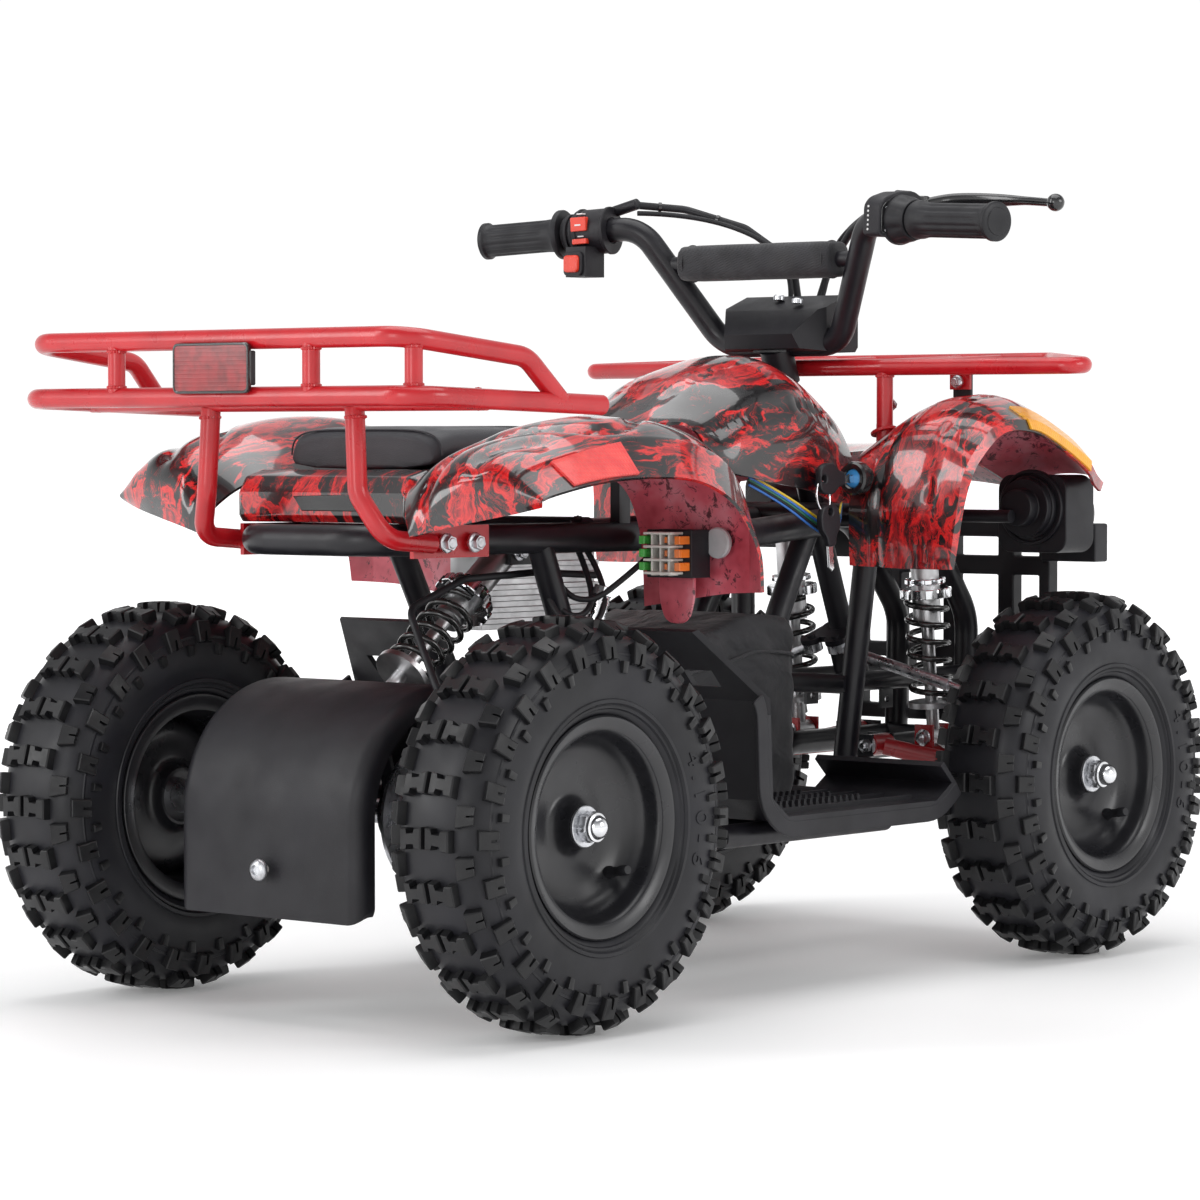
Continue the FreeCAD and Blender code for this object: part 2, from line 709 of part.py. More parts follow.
def tyre():
    """A knobbly tyre: rows of long side knobs, with a middle knob and two short side knobs between them."""
    tip = tyre_radius - 0.3
    long_side = [(5, 155), (5, tip), (24, 162.5), (34, 157.5), (42.5, 150.5), (45.8, 141), (40, 138), (30, 150)]
    short_side = [(34, 146), (36.5, 155.2), (42.5, 150.5), (45.8, 141), (40, 138)]
    middle = [(-13, 155), (-13, tip - 0.6), (13, tip - 0.6), (13, 155)]
    pitch = 360 / tread_rows
    knobs = []
    for row in range(tread_rows):
        turn = row * pitch
        for side in (1, -1):
            knobs.append(knob([(a * side, radius) for a, radius in long_side], turn, 7.5))
            knobs.append(knob([(a * side, radius) for a, radius in short_side], turn + pitch / 2, 10.5))
        knobs.append(knob(middle, turn + pitch / 2, 8))
    return tyre_carcass().fuse(knobs)


def rear_axle_shaft():
    reach = rear_half_track + hub_half
    shaft = rod(V(rear_x, -reach - 4, axle_height), V(rear_x, reach + 4, axle_height), axle_radius)
    parts = [shaft]
    for shape in axle_nut(V(rear_x, reach + seat_gap, axle_height), 42 - hub_half - seat_gap):
        parts += both_sides(shape)
    collar_in = swing_y + 14
    for side in (1, -1):
        hub_y = sprocket_y if side > 0 else disc_y
        a, b = V(rear_x, hub_y - 4, axle_height), V(rear_x, hub_y + 4, axle_height)
        parts.append(rod(a, b, 22))
        inner = rear_half_track - hub_half - seat_gap
        start = V(rear_x, side * (collar_in + 20), axle_height)
        parts.append(rod(start, V(rear_x, side * inner, axle_height), 14))
    solid = joined(parts)
    for y in (sprocket_y, disc_y):
        solid = solid.cut(ring(V(rear_x, y - 2, axle_height), V(rear_x, y + 2, axle_height), 30, 18))
    return solid


def make_sprocket():
    a, b = V(rear_x, sprocket_y - 1.7, axle_height), V(rear_x, sprocket_y + 1.7, axle_height)
    plate = ring(a, b, sprocket_radius, 18 + seat_gap)
    holes = []
    for k in range(5):
        angle = math.radians(72 * k)
        shift = V(44 * math.cos(angle), 0, 44 * math.sin(angle))
        holes.append(rod(a - V(0, 1, 0) + shift, b + V(0, 1, 0) + shift, 12))
    return plate.cut(Part.makeCompound(holes))


def make_brake_disc():
    a, b = V(rear_x, disc_y - 1.7, axle_height), V(rear_x, disc_y + 1.7, axle_height)
    return ring(a, b, disc_radius, 18 + seat_gap)


def make_caliper():
    low, high = (-360, disc_y - 10, axle_height + 34), (-326, disc_y + 7, axle_height + 76)
    body = box(low, high)
    slot = box((-400, disc_y - 3, 100), (-250, disc_y + 3, axle_height + 66))
    face = -swing_y - 13 - seat_gap
    arm = box((-360, face - 4, axle_height + 15), (-326, face, axle_height + 76))
    return joined([body.cut(slot), arm])


# Steering

def bar_path():
    right = [V(p.x, -p.y, p.z) for p in (bar_foot, bar_bend, bar_end)]
    return [bar_end, bar_bend, bar_foot] + right


def make_handlebar():
    points = bar_path()
    inset = (bar_bend - bar_end).normalize() * 5
    points[0] = points[0] + inset
    points[-1] = V(points[0].x, -points[0].y, points[0].z)
    bar = bent_tube(points, bar_radius, 34)
    cross = rod(V(186, -110, 628), V(186, 110, 628), 7)
    return joined([bar, cross])


def make_stem():
    low = column_bottom - column_axis * 30
    shaft = rod(low, column_point(536), column_radius)
    neck = rod(column_point(518), column_point(549), column_radius + 4)
    clamp = box((bar_foot.x - 18, -19, bar_foot.z - 7), (bar_foot.x + 18, 19, bar_foot.z + 17))
    plate_mid = column_point(pitman_z)
    plate = [rod(plate_mid - column_axis * 2.5, plate_mid + column_axis * 2.5, 19)]
    for side in (1, -1):
        eye = pitman_eye(side)
        plate.append(rod(eye - column_axis * 2.5, eye + column_axis * 2.5, rod_end_radius + 1))
        plate.append(rod(eye - column_axis * 13, eye + column_axis * 5, 4))
    web_points = [pitman_eye(1) + V(0, 9, 0), pitman_eye(-1) - V(0, 9, 0)]
    web_points += [plate_mid - V(0, 18, 0), plate_mid + V(0, 18, 0)]
    web_points = [p - column_axis * 2.5 for p in web_points]
    plate.append(Part.Face(Part.makePolygon(web_points + web_points[:1])).extrude(column_axis * 5))
    solid = joined([shaft, neck, clamp] + plate)
    across = V(0, 40, 0)
    middle = V(bar_foot.x, 0, bar_foot.z)
    bar_seat = rod(middle - across, middle + across, bar_radius + running_clearance)
    return solid.cut(bar_seat)


def make_clamp_cover():
    """Faceted two-piece cover over the handlebar clamp."""
    profile = [(186, 549), (180, 562), (200, 584), (238, 598), (264, 590), (270, 568), (250, 546), (222, 545)]
    cover = slab(profile, -58, 58)
    for side in (1, -1):
        wedge = [(150, side * 64), (150, side * 22), (182, side * 40), (215, side * 64)]
        cover = cover.cut(plan_slab(wedge, 500, 620))
        front = [(300, side * 64), (300, side * 30), (268, side * 38), (250, side * 64)]
        cover = cover.cut(plan_slab(front, 500, 620))
    hollow = slab([(194, 530), (194, 572), (240, 572), (240, 530)], -20, 20)
    bar = bent_tube(bar_path(), bar_radius + seat_gap, 34)
    column = rod(column_bottom, column_top + column_axis * 20, column_radius + seat_gap)
    return cover.cut(hollow).cut(bar).cut(column)


def make_bar_pad():
    pad = box((169, -88, 611), (203, 88, 645))
    pad = pad.makeFillet(10, [e for e in pad.Edges if e.BoundBox.YLength > 100])
    return pad.cut(rod(V(186, -120, 628), V(186, 120, 628), 7 + seat_gap))


def on_bar(distance, side):
    """A point on the handlebar's straight end, measured inward from its tip."""
    run = (bar_bend - bar_end).normalize()
    point = bar_end + run * distance
    return V(point.x, point.y * side, point.z)


def make_grip(side, inner_end, flange):
    shape = [rod(on_bar(0, side), on_bar(inner_end, side), grip_radius)]
    shape.append(rod(on_bar(0, side), on_bar(6, side), grip_radius + 1.5))
    if flange:
        shape.append(rod(on_bar(inner_end - 4, side), on_bar(inner_end, side), 23))
    bore = rod(on_bar(5, side), on_bar(inner_end + 5, side), bar_radius + seat_gap)
    return joined(shape).cut(bore)


def make_switch_cluster():
    parts = [rod(on_bar(90, 1), on_bar(104, 1), 16)]
    parts.append(rod(on_bar(104, 1), on_bar(136, 1), 21))
    low = on_bar(108, 1)
    parts.append(box((low.x - 25, low.y - 22, low.z - 42), (low.x + 2, low.y + 2, low.z - 14)))
    bore = rod(on_bar(80, 1), on_bar(150, 1), bar_radius + seat_gap)
    return joined(parts).cut(bore)


def make_throttle_housing():
    parts = [rod(on_bar(104, -1), on_bar(124, -1), 22)]
    face = on_bar(134, -1)
    parts.append(box((face.x - 26, face.y - 12, face.z - 16), (face.x + 26, face.y + 10, face.z + 26)))
    bore = rod(on_bar(90, -1), on_bar(160, -1), bar_radius + seat_gap)
    return joined(parts).cut(bore)


def make_brake_lever():
    points = [V(226, -143, 676), V(246, -172, 680), V(250, -226, 678), V(240, -286, 674)]
    lever = bent_tube(points, 5, 22)
    ball = Part.makeSphere(8, points[-1])
    perch = rod(V(172, -143, 668), V(232, -143, 676), 7.5)
    gap = rod(on_bar(90, -1), on_bar(170, -1), bar_radius + seat_gap)
    return joined([lever, ball, perch]).cut(gap)


def make_cables():
    """Two cable bundles from the bar's controls, in front of the pad and into the clamp cover."""
    left = [V(176, 146, 684), V(214, 112, 680), V(238, 60, 662), V(258, 20, 630), V(256, 12, 594)]
    right = [V(206, -140, 684), V(226, -100, 676), V(246, -56, 656), V(262, -20, 626), V(256, -12, 594)]
    return Part.makeCompound([bent_tube(left, 3.5, 22), bent_tube(right, 3.5, 22)])


# Racks

def make_rear_rack():
    """Two open rings of tube, one over the other, on two legs bolted to the rails."""
    x = rear_rack_x
    w = rear_rack_half_width
    low = [rear_rack_front, V(x, w, rear_rack_z)]
    low += [V(p.x, -p.y, p.z) for p in reversed(low)]
    parts = [bent_tube(low, rack_tube, 28)]
    foot = V(-354, w + 5, rear_rack_z - 3)
    top = [foot, V(-389, w, 531), V(x, w - 12, rear_rack_top_z)]
    top += [V(p.x, -p.y, p.z) for p in reversed(top)]
    parts.append(bent_tube(top, rack_tube, 26))
    parts.append(rod(V(rack_cross_x, -w - 1, 497), V(rack_cross_x, w + 1, 497), rack_tube))
    uprights = [(x, rack_upright_y), (x, -rack_upright_y), (x + 12, -w + 14)]
    for px, py in uprights:
        parts.append(rod(V(px, py, rear_rack_z), V(px, py, rear_rack_top_z), rack_light_tube + 1))
    leg = [V(rack_cross_x, rail_y, 492), V(-437, rail_y + 4, 424), V(-424, rail_y + 22, 388)]
    leg.append(V(-370, rail_y + 22, 384))
    parts += both_sides(bent_tube(leg, rack_tube, 24))
    plate_y = rail_y + rail_radius + seat_gap
    parts += both_sides(box((-386, plate_y, 372), (-296, plate_y + 4, 398)))
    for px in (-352.0, -318.0):
        parts += both_sides(rod(V(px, plate_y + 3, 384), V(px, plate_y + 9, 384), 6.5))
    return joined(parts)


def make_front_rack():
    z = front_rack_z
    inner = V(242, 96, z)
    outer = V(278, 293, z)
    nose = V(430, 150, z + 8)
    half = [V(242, -1, z), inner, outer, nose, V(430, -1, z + 8)]
    path = [half[0], inner, outer, nose, half[4]]
    parts = both_sides(bent_tube(path, front_rack_tube, 14))
    for y in (50.0, 96.0):
        parts += both_sides(rod(V(242, y, z), V(430, y, z + 8), rack_light_tube))
    parts += both_sides(rod(V(244, 96, z), V(244, 96, front_post_foot), front_rack_tube))
    parts += both_sides(box((300, 128, z - 20), (303, 150, z + 2)))
    parts += both_sides(rod(V(296, 139, z - 13), V(307, 139, z - 13), 5))
    cross = [V(302, 96, z + 2), V(302, 252, z)]
    parts += both_sides(rod(cross[0], cross[1], rack_light_tube))
    return joined(parts)


# Bodywork

def rear_wing():
    rows = [
        [(-414, 118, 390), (-408, 145, 396), (-400, 180, 404), (-390, 212, 411), (-384, 232, 416)],
        [(-398, 98, 422), (-402, 135, 444), (-400, 180, 451), (-396, 214, 438), (-394, 236, 422)],
        [(-340, wing_inner_y, 440), (-342, 130, 463), (-345, 180, 469), (-345, 216, 452), (-340, 239, 430)],
        [(-240, wing_inner_y, 441), (-240, 130, 477), (-240, 185, 484), (-240, 218, 469), (-240, 240, 437)],
        [(-150, wing_inner_y, 441), (-148, 130, 469), (-146, 185, 470), (-148, 217, 454), (-158, 238, 419)],
        [(-104, 96, 402), (-102, 130, 418), (-101, 185, 424), (-106, 216, 408), (-120, 236, 380)],
        [(-97, 98, 326), (-95, 130, 331), (-94, 180, 338), (-100, 214, 340), (-108, 233, 341)],
    ]
    return panel(rows, skin, -1)


def make_rear_fender():
    wings = both_sides(rear_wing())
    deck = box((-350, -wing_inner_y - 1, deck_z - skin), (-146, wing_inner_y + 1, deck_z))
    nose = box((-147, -wing_inner_y + 6, deck_z - skin), (-20, wing_inner_y - 6, deck_z))
    tail = box((-392, -98, 404), (-346, 98, deck_z + 1))
    tail = tail.makeFillet(8, [e for e in tail.Edges if e.BoundBox.XMax < -391])
    hollow = box((-392 + skin, -98 + skin, 300), (-346, 98 - skin, deck_z - skin + 1))
    return joined(wings + [deck, nose, tail.cut(hollow)])


def front_wing():
    rows = [
        [(186, 100, 354), (188, 130, 353), (190, 165, 352), (194, 205, 352)],
        [(185, 100, 405), (188, 130, 410), (192, 168, 412), (198, 212, 410)],
        [(198, 98, 450), (206, 130, 464), (210, 172, 467), (208, 217, 450)],
        [(245, wing_inner_y, 462), (250, 130, 493), (252, 178, 499), (246, 222, 482)],
        [(320, wing_inner_y, 461), (322, 130, 497), (320, 178, 504), (314, 224, 478)],
        [(390, wing_inner_y, 449), (396, 130, 473), (396, 176, 478), (384, 223, 446)],
        [(456, wing_inner_y, 425), (464, 130, 437), (456, 174, 436), (420, 216, 426)],
    ]
    return panel(rows, skin, -1)


def front_hood():
    rows = [
        [(276, -90, 462), (276, -45, 456), (276, 0, 454), (276, 45, 456), (276, 90, 462)],
        [(330, -90, 461), (330, -45, 463), (330, 0, 463), (330, 45, 463), (330, 90, 461)],
        [(390, -90, 449), (392, -45, 455), (392, 0, 456), (392, 45, 455), (390, 90, 449)],
        [(456, -90, 425), (460, -45, 430), (461, 0, 431), (460, 45, 430), (456, 90, 425)],
    ]
    return panel(rows, skin, 1)


def make_front_fender():
    body = joined(both_sides(front_wing()) + [front_hood()])
    return body.cut(rod(V(150, -112, 432), V(235, -112, 432), 10 + seat_gap))


def make_tank_cover():
    half_rows = [
        [(-42, 0, 481.8), (-38, 30, 481.6), (-24, 52, 481.3), (-2, 72, 479), (3, 88, 447)],
        [(12, 0, 506), (13, 36, 502), (16, 64, 488), (22, 86, 462), (25, 94, 438)],
        [(70, 0, 530), (70, 40, 525), (70, 74, 505), (70, 94, 470), (70, 99, 432)],
        [(125, 0, 542), (125, 38, 537), (125, 73, 515), (125, 96, 475), (125, 101, 422)],
        [(178, 0, 527), (178, 36, 522), (178, 69, 500), (178, 90, 462), (178, 93, 410)],
        [(199, 0, 512), (200, 34, 507), (206, 64, 487), (215, 80, 452), (222, 84, 410)],
    ]
    rows = [[(x, -y, z) for x, y, z in reversed(row[1:])] + row for row in half_rows]
    return panel(rows, skin, 1)


def make_seat():
    w = seat_half_width
    low = deck_z + seat_gap
    profile = [(seat_rear_x, low), (seat_front_x, low), (seat_front_x, seat_top_z - 8)]
    profile += [(seat_front_x - 36, seat_top_z), (seat_rear_x + 14, seat_top_z), (seat_rear_x, seat_top_z - 5)]
    block = slab(profile, -w, w)
    edges = [e for e in block.Edges if e.BoundBox.ZMin > deck_z + 10 and e.BoundBox.YLength < 1]
    edges = [e for e in edges if e.BoundBox.XLength > 60]
    return block.makeFillet(10, edges)


# Footrests, battery and electrics

def footrest():
    """The left moulded footrest: slotted heel guard, ribbed tread and turned-up front lip."""
    outer = [(-161, 309), (-107, 251), (-103, 168), (-80, foot_z), (136, foot_z), (162, 168), (143, 187)]
    inner = [(139, 183), (155, 168), (133, foot_z + foot_wall), (-77, foot_z + foot_wall), (-98, 170)]
    inner += [(-102, 253), (-156, 311)]
    strip = slab(outer + inner, foot_inner_y, foot_outer_y)
    taper = plan_slab([(-200, foot_outer_y - 60), (-100, foot_outer_y + 1), (-200, foot_outer_y + 1)], 240, 330)
    strip = strip.cut(taper)
    for low_y in (foot_inner_y + 22, foot_inner_y + 68):
        strip = strip.cut(box((-150, low_y, 262), (-90, low_y + 30, 276)))
    ribs = []
    for y in (120.0, 150.0, 180.0, 210.0):
        ribs.append(box((-74, y - 2, foot_z + 3), (128, y + 2, foot_z + foot_wall + 4)))
    rim_low = foot_z - 9
    ribs.append(box((-76, foot_outer_y - 4, rim_low), (132, foot_outer_y, foot_z + 1)))
    return joined([strip] + ribs)


def make_bag():
    profile = [(bag_rear_x, 150.6), (bag_front_x, 150.6), (bag_front_x, 308), (70, 316), (20, 300)]
    profile += [(bag_rear_x, 290)]
    block = slab(profile, -bag_half_width, bag_half_width)
    return block.makeFillet(12, [e for e in block.Edges if e.BoundBox.ZLength > 100])


def make_controller():
    body = box((-165, 28, 304), (-16, 64, 368))
    fins = []
    for k in range(6):
        z = 309 + k * 9.6
        fins.append(box((-166, 24, z), (-15, 31, z + 4.5)))
    strap = box((-120, 60, 340), (-60, rail_y - rail_radius - seat_gap, 372))
    return joined([body, strap] + fins)


def make_fuse_block():
    block = box((-140, 128, 352), (-108, 176, 392))
    cells = []
    for row in range(3):
        for column in range(2):
            z = 356 + row * 12
            y = 133 + column * 20
            cells.append(box((-142, y, z), (-136, y + 16, z + 9)))
    return mirrored(block.cut(Part.makeCompound(cells)))


def lamp():
    """The left lamp: rounded shell with a stepped round back."""
    shell = box((400, lamp_y - 38, lamp_z - 42), (446, lamp_y + 38, lamp_z + 30))
    shell = shell.makeFillet(14, [e for e in shell.Edges if e.BoundBox.XLength > 40])
    back = rod(V(386, lamp_y, lamp_z), V(401, lamp_y, lamp_z), 27)
    cap = rod(V(lamp_bar_x + lamp_bar_radius + seat_gap, lamp_y, lamp_z), V(387, lamp_y, lamp_z), 17)
    return joined([shell, back, cap])


def lamp_lens():
    lens = rod(V(446 + seat_gap, lamp_y, lamp_z - 6), V(456, lamp_y, lamp_z - 6), 30)
    return lens.makeFillet(4, [e for e in lens.Edges if e.BoundBox.XMin > 455])


def make_bumper():
    """Black moulded grille guard: uprights, cross bars and the two side wings."""
    depth = 16.0
    x = bumper_x
    parts = []
    for y, width in ((0.0, 14.0), (66.0, 18.0), (110.0, 12.0)):
        for side in ((1, -1) if y else (1,)):
            mid = y * side
            parts.append(box((x, mid - width / 2, 196), (x + depth, mid + width / 2, 392)))
    for low, high in ((374.0, 392.0), (338.0, 356.0), (256.0, 270.0), (196.0, 210.0)):
        parts.append(box((x, -116, low), (x + depth, 116, high)))
    for wing in both_sides(box((x - 6, 110, 352), (x + depth, 172, 388))):
        parts.append(wing)
    return joined(parts)


def make_rack_reflector():
    """Reflector plate behind the rack's two rear tubes, its body between them."""
    back = rear_rack_x - rack_tube - seat_gap
    middle = (rear_rack_z + rear_rack_top_z) / 2
    room = (rear_rack_top_z - rear_rack_z) / 2 - rack_tube - seat_gap
    y = reflector_y
    plate = box((back - 4, y - 42, middle - 20), (back, y + 42, middle + 20))
    body = box((back - 1, y - 38, middle - room), (back + 9, y + 38, middle + room))
    return joined([plate, body])


def make_ignition():
    flange = rod(V(176, -112, 432), V(184, -112, 432), 15)
    barrel = rod(V(183, -112, 432), V(215, -112, 432), 10)
    blade = box((150, -115, 427), (178, -111, 437))
    head = rod(V(134, -117.5, 440), V(134, -112.5, 440), 14)
    neck = box((134, -117.5, 426), (158, -112.5, 440))
    hang = rod(V(140, -115, 398), V(140, -110, 398), 13)
    link = box((137, -115.5, 405), (142, -112.5, 430))
    return joined([flange, barrel, blade, head, neck, hang, link])


def make_brake_cable():
    points = [V(-338, -97.5, 232), V(-372, -112, 262), V(-352, -60, 330), V(-270, -46, 352), V(-190, -56, 356)]
    points += [V(-120, -62, 352)]
    return bent_tube(points, 3, 20)


def save(node, shape):
    shape.exportStep("parts/%s.step" % node)
    box_now = shape.BoundBox
    print("%-22s valid %s solids %d volume %9.0f x %6.1f %6.1f y %6.1f %6.1f z %6.1f %6.1f" % (
        node, shape.isValid(), len(shape.Solids), shape.Volume, box_now.XMin, box_now.XMax,
        box_now.YMin, box_now.YMax, box_now.ZMin, box_now.ZMax))


def main():
    os.makedirs("parts", exist_ok=True)
    save("frame", make_frame())
    save("frame_floor", make_frame_floor())
    save("frame_uprights", make_frame_uprights())
    save("frame_nose", make_frame_nose())
    save("frame_cross", make_frame_cross())
    save("swingarm", make_swingarm())
    save("motor", make_motor())
    save("axle_guard", make_guard())
    save("chain", make_chain())
    save("rear_shock", shock_body(rear_shock_foot, rear_shock_top, shock_radius, spring_radius + 3, V(0, 1, 0)))
    springs = [spring_between(shock_foot, shock_top, 6)]
    springs.append(mirrored(springs[0]))
    springs.append(spring_between(rear_shock_foot, rear_shock_top, 6))
    save("shock_springs", Part.makeCompound(springs))
    tread = tyre()
    for side, name in ((1, "left"), (-1, "right")):
        def placed(shape):
            return shape if side > 0 else mirrored(shape)
        save("front_shock_" + name, front_shock(side))
        save("front_arm_" + name, placed(front_arm()))
        save("knuckle_" + name, placed(knuckle()))
        save("tie_rod_" + name, placed(tie_rod()))
        save("front_rim_" + name, rim(front_half_track, front_x, spindle_radius + running_clearance, side))
        save("front_tyre_" + name, placed(moved(tread, V(front_x, front_half_track, axle_height))))
        save("rear_rim_" + name, rim(rear_half_track, rear_x, axle_radius + running_clearance, side))
        save("rear_tyre_" + name, placed(moved(tread, V(rear_x, rear_half_track, axle_height))))
        save("footrest_" + name, placed(footrest()))
        save("grip_" + name, make_grip(side, 88 if side > 0 else 102, side > 0))
    save("rear_axle", rear_axle_shaft())
    save("sprocket", make_sprocket())
    save("brake_disc", make_brake_disc())
    save("brake_caliper", make_caliper())
    save("steering_stem", make_stem())
    save("handlebar", make_handlebar())
    save("clamp_cover", make_clamp_cover())
    save("bar_pad", make_bar_pad())
    save("switch_cluster", make_switch_cluster())
    save("throttle_housing", make_throttle_housing())
    save("brake_lever", make_brake_lever())
    save("control_cables", make_cables())
    save("rear_rack", make_rear_rack())
    save("front_rack", make_front_rack())
    save("rear_fender", make_rear_fender())
    save("front_fender", make_front_fender())
    save("tank_cover", make_tank_cover())
    save("seat", make_seat())
    save("battery_bag", make_bag())
    save("controller", make_controller())
    save("fuse_block", make_fuse_block())
    save("headlights", Part.makeCompound(both_sides(lamp())))
    save("headlight_lenses", Part.makeCompound(both_sides(lamp_lens())))
    save("front_bumper", make_bumper())
    save("rack_reflector", make_rack_reflector())
    save("ignition_lock", make_ignition())
    save("rear_brake_cable", make_brake_cable())


main()
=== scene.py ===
# %% [markdown]
# # A child's electric quad bike
# The real thing is a welded tube frame with moulded plastic bodywork clipped over it, four
# small knobbly tyres, two painted racks and a padded handlebar.
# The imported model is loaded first, as a fixed frame in metres. Everything made afterwards is
# dressed onto it, so a piece goes exactly where the solid that it covers lies.

import json
import math
import random

import bmesh
import bpy
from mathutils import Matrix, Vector

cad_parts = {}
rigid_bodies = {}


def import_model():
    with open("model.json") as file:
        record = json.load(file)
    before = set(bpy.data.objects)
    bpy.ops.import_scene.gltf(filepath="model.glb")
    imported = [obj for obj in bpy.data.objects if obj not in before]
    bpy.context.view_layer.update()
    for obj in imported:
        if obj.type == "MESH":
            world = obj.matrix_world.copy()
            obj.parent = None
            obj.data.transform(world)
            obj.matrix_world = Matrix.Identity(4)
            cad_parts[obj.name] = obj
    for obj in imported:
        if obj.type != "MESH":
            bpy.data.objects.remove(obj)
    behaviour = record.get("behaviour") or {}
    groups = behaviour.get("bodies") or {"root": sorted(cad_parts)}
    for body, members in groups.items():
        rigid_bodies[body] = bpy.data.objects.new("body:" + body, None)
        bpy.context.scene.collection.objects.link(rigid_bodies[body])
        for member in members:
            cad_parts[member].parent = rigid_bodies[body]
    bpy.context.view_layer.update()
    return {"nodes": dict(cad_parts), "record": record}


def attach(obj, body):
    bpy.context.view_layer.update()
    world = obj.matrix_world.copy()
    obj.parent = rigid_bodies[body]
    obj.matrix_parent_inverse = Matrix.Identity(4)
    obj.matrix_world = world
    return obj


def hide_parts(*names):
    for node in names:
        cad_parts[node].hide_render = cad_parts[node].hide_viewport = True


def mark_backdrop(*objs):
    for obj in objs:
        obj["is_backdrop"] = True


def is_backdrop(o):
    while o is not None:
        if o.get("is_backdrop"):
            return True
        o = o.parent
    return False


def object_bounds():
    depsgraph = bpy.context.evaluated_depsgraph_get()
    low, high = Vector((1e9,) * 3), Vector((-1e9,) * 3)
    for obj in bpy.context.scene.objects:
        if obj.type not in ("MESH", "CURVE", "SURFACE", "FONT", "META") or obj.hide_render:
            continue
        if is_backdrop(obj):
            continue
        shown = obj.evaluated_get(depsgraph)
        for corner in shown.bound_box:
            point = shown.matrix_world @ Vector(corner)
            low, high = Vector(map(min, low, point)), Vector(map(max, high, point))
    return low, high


for old in list(bpy.data.objects):
    bpy.data.objects.remove(old, do_unlink=True)
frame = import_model()
nodes = frame["nodes"]

# %% [markdown]
# The drawings of such a machine are in millimetres, so the shapes below are too, and one
# factor turns them into Blender's metres. The wheel centres and the few lengths that many
# pieces share are named once here.

# %% Shared sizes
MM = 0.001
AXLE_HEIGHT = 165.0
REAR_X, FRONT_X = -350.0, 350.0
REAR_TRACK, FRONT_TRACK = 223.0, 229.0
SKIN = 3.0
SIDES = (("left", 1), ("right", -1))
WHEELS = [
    ("rear", REAR_X, REAR_TRACK, "rear_axle_set", "rear_axle_set"),
    ("front", FRONT_X, FRONT_TRACK, "front_wheel_left", "front_wheel_right"),
]
print("wheelbase", FRONT_X - REAR_X)

# %% [markdown]
# A mesh is only points and faces. `Shape` gathers both from several simple forms: a profile
# spun about a line, a rod, a block, an outline with thickness. Each form can have its own
# finish. When the mesh is made, the face directions are put right, edges sharper than a limit
# stay crisp, and a small bevel catches the light as a moulded or pressed edge does.

# %% Shape: gather points and faces
BOX_FACES = [(0, 1, 3, 2), (4, 6, 7, 5), (0, 4, 5, 1), (2, 3, 7, 6), (0, 2, 6, 4), (1, 5, 7, 3)]


class Shape:
    def __init__(self):
        self.points, self.faces, self.finishes = [], [], []

    def add(self, points, faces, finish=0):
        start = len(self.points)
        self.points += [Vector(p) for p in points]
        self.faces += [tuple(start + i for i in face) for face in faces]
        self.finishes += [finish] * len(faces)
        return self

    def spin(self, origin, axis, outline, turns=64, finish=0, closed=True, ripple=None):
        """Spins (along, radius) points about an axis through origin."""
        origin, axis = Vector(origin), Vector(axis).normalized()
        side = axis.orthogonal().normalized()
        up = axis.cross(side)
        points = []
        for k in range(turns):
            angle = 2 * math.pi * k / turns
            spoke = side * math.cos(angle) + up * math.sin(angle)
            for along, radius in outline:
                extra = ripple(angle, along) if ripple else 0
                points.append(origin + axis * along + spoke * (radius + extra))
        n = len(outline)
        faces = []
        for k in range(turns):
            m = (k + 1) % turns
            for j in range(n if closed else n - 1):
                i = (j + 1) % n
                faces.append((k * n + j, m * n + j, m * n + i, k * n + i))
        return self.add(points, faces, finish)

    def rod(self, start, end, radius, turns=24, finish=0, edge=0.6):
        start, end = Vector(start), Vector(end)
        length = (end - start).length
        outline = [(0, 0), (0, radius - edge), (edge, radius), (length - edge, radius)]
        outline += [(length, radius - edge), (length, 0)]
        return self.spin(start, end - start, outline, turns, finish, closed=False)

    def block(self, low, high, finish=0):
        points = [(x, y, z) for x in (low[0], high[0]) for y in (low[1], high[1]) for z in (low[2], high[2])]
        return self.add(points, BOX_FACES, finish)

    def cap(self, loop, finish=0):
        """One flat face over a loop of points."""
        return self.add(loop, [tuple(range(len(loop)))], finish)

    def prism(self, bottom, top, finish=0):
        """Joins two outlines of the same number of points, closed at both ends."""
        n = len(bottom)
        faces = [tuple(range(n)), tuple(range(2 * n - 1, n - 1, -1))]
        faces += [(i, (i + 1) % n, n + (i + 1) % n, n + i) for i in range(n)]
        return self.add(list(bottom) + list(top), faces, finish)

    def grid(self, rows, finish=0, ring=False):
        """A sheet through rows of points; ring joins the last column to the first."""
        width = len(rows[0])
        faces = []
        for r in range(len(rows) - 1):
            for c in range(width if ring else width - 1):
                d = (c + 1) % width
                faces.append((r * width + c, r * width + d, (r + 1) * width + d, (r + 1) * width + c))
        return self.add([p for row in rows for p in row], faces, finish)

    def made(self, name, body, finishes, sharp=32, bevel=0.0, slot=None, weld=True):
        mesh = bpy.data.meshes.new(name)
        mesh.from_pydata([p * MM for p in self.points], [], self.faces)
        mesh.polygons.foreach_set("material_index", self.finishes)
        work = bmesh.new()
        work.from_mesh(mesh)
        if weld:
            bmesh.ops.remove_doubles(work, verts=work.verts, dist=2e-6)
        bmesh.ops.recalc_face_normals(work, faces=work.faces)
        work.to_mesh(mesh)
        work.free()
        return placed(name, mesh, body, finishes, sharp, bevel)


print("a box has", len(BOX_FACES), "faces")

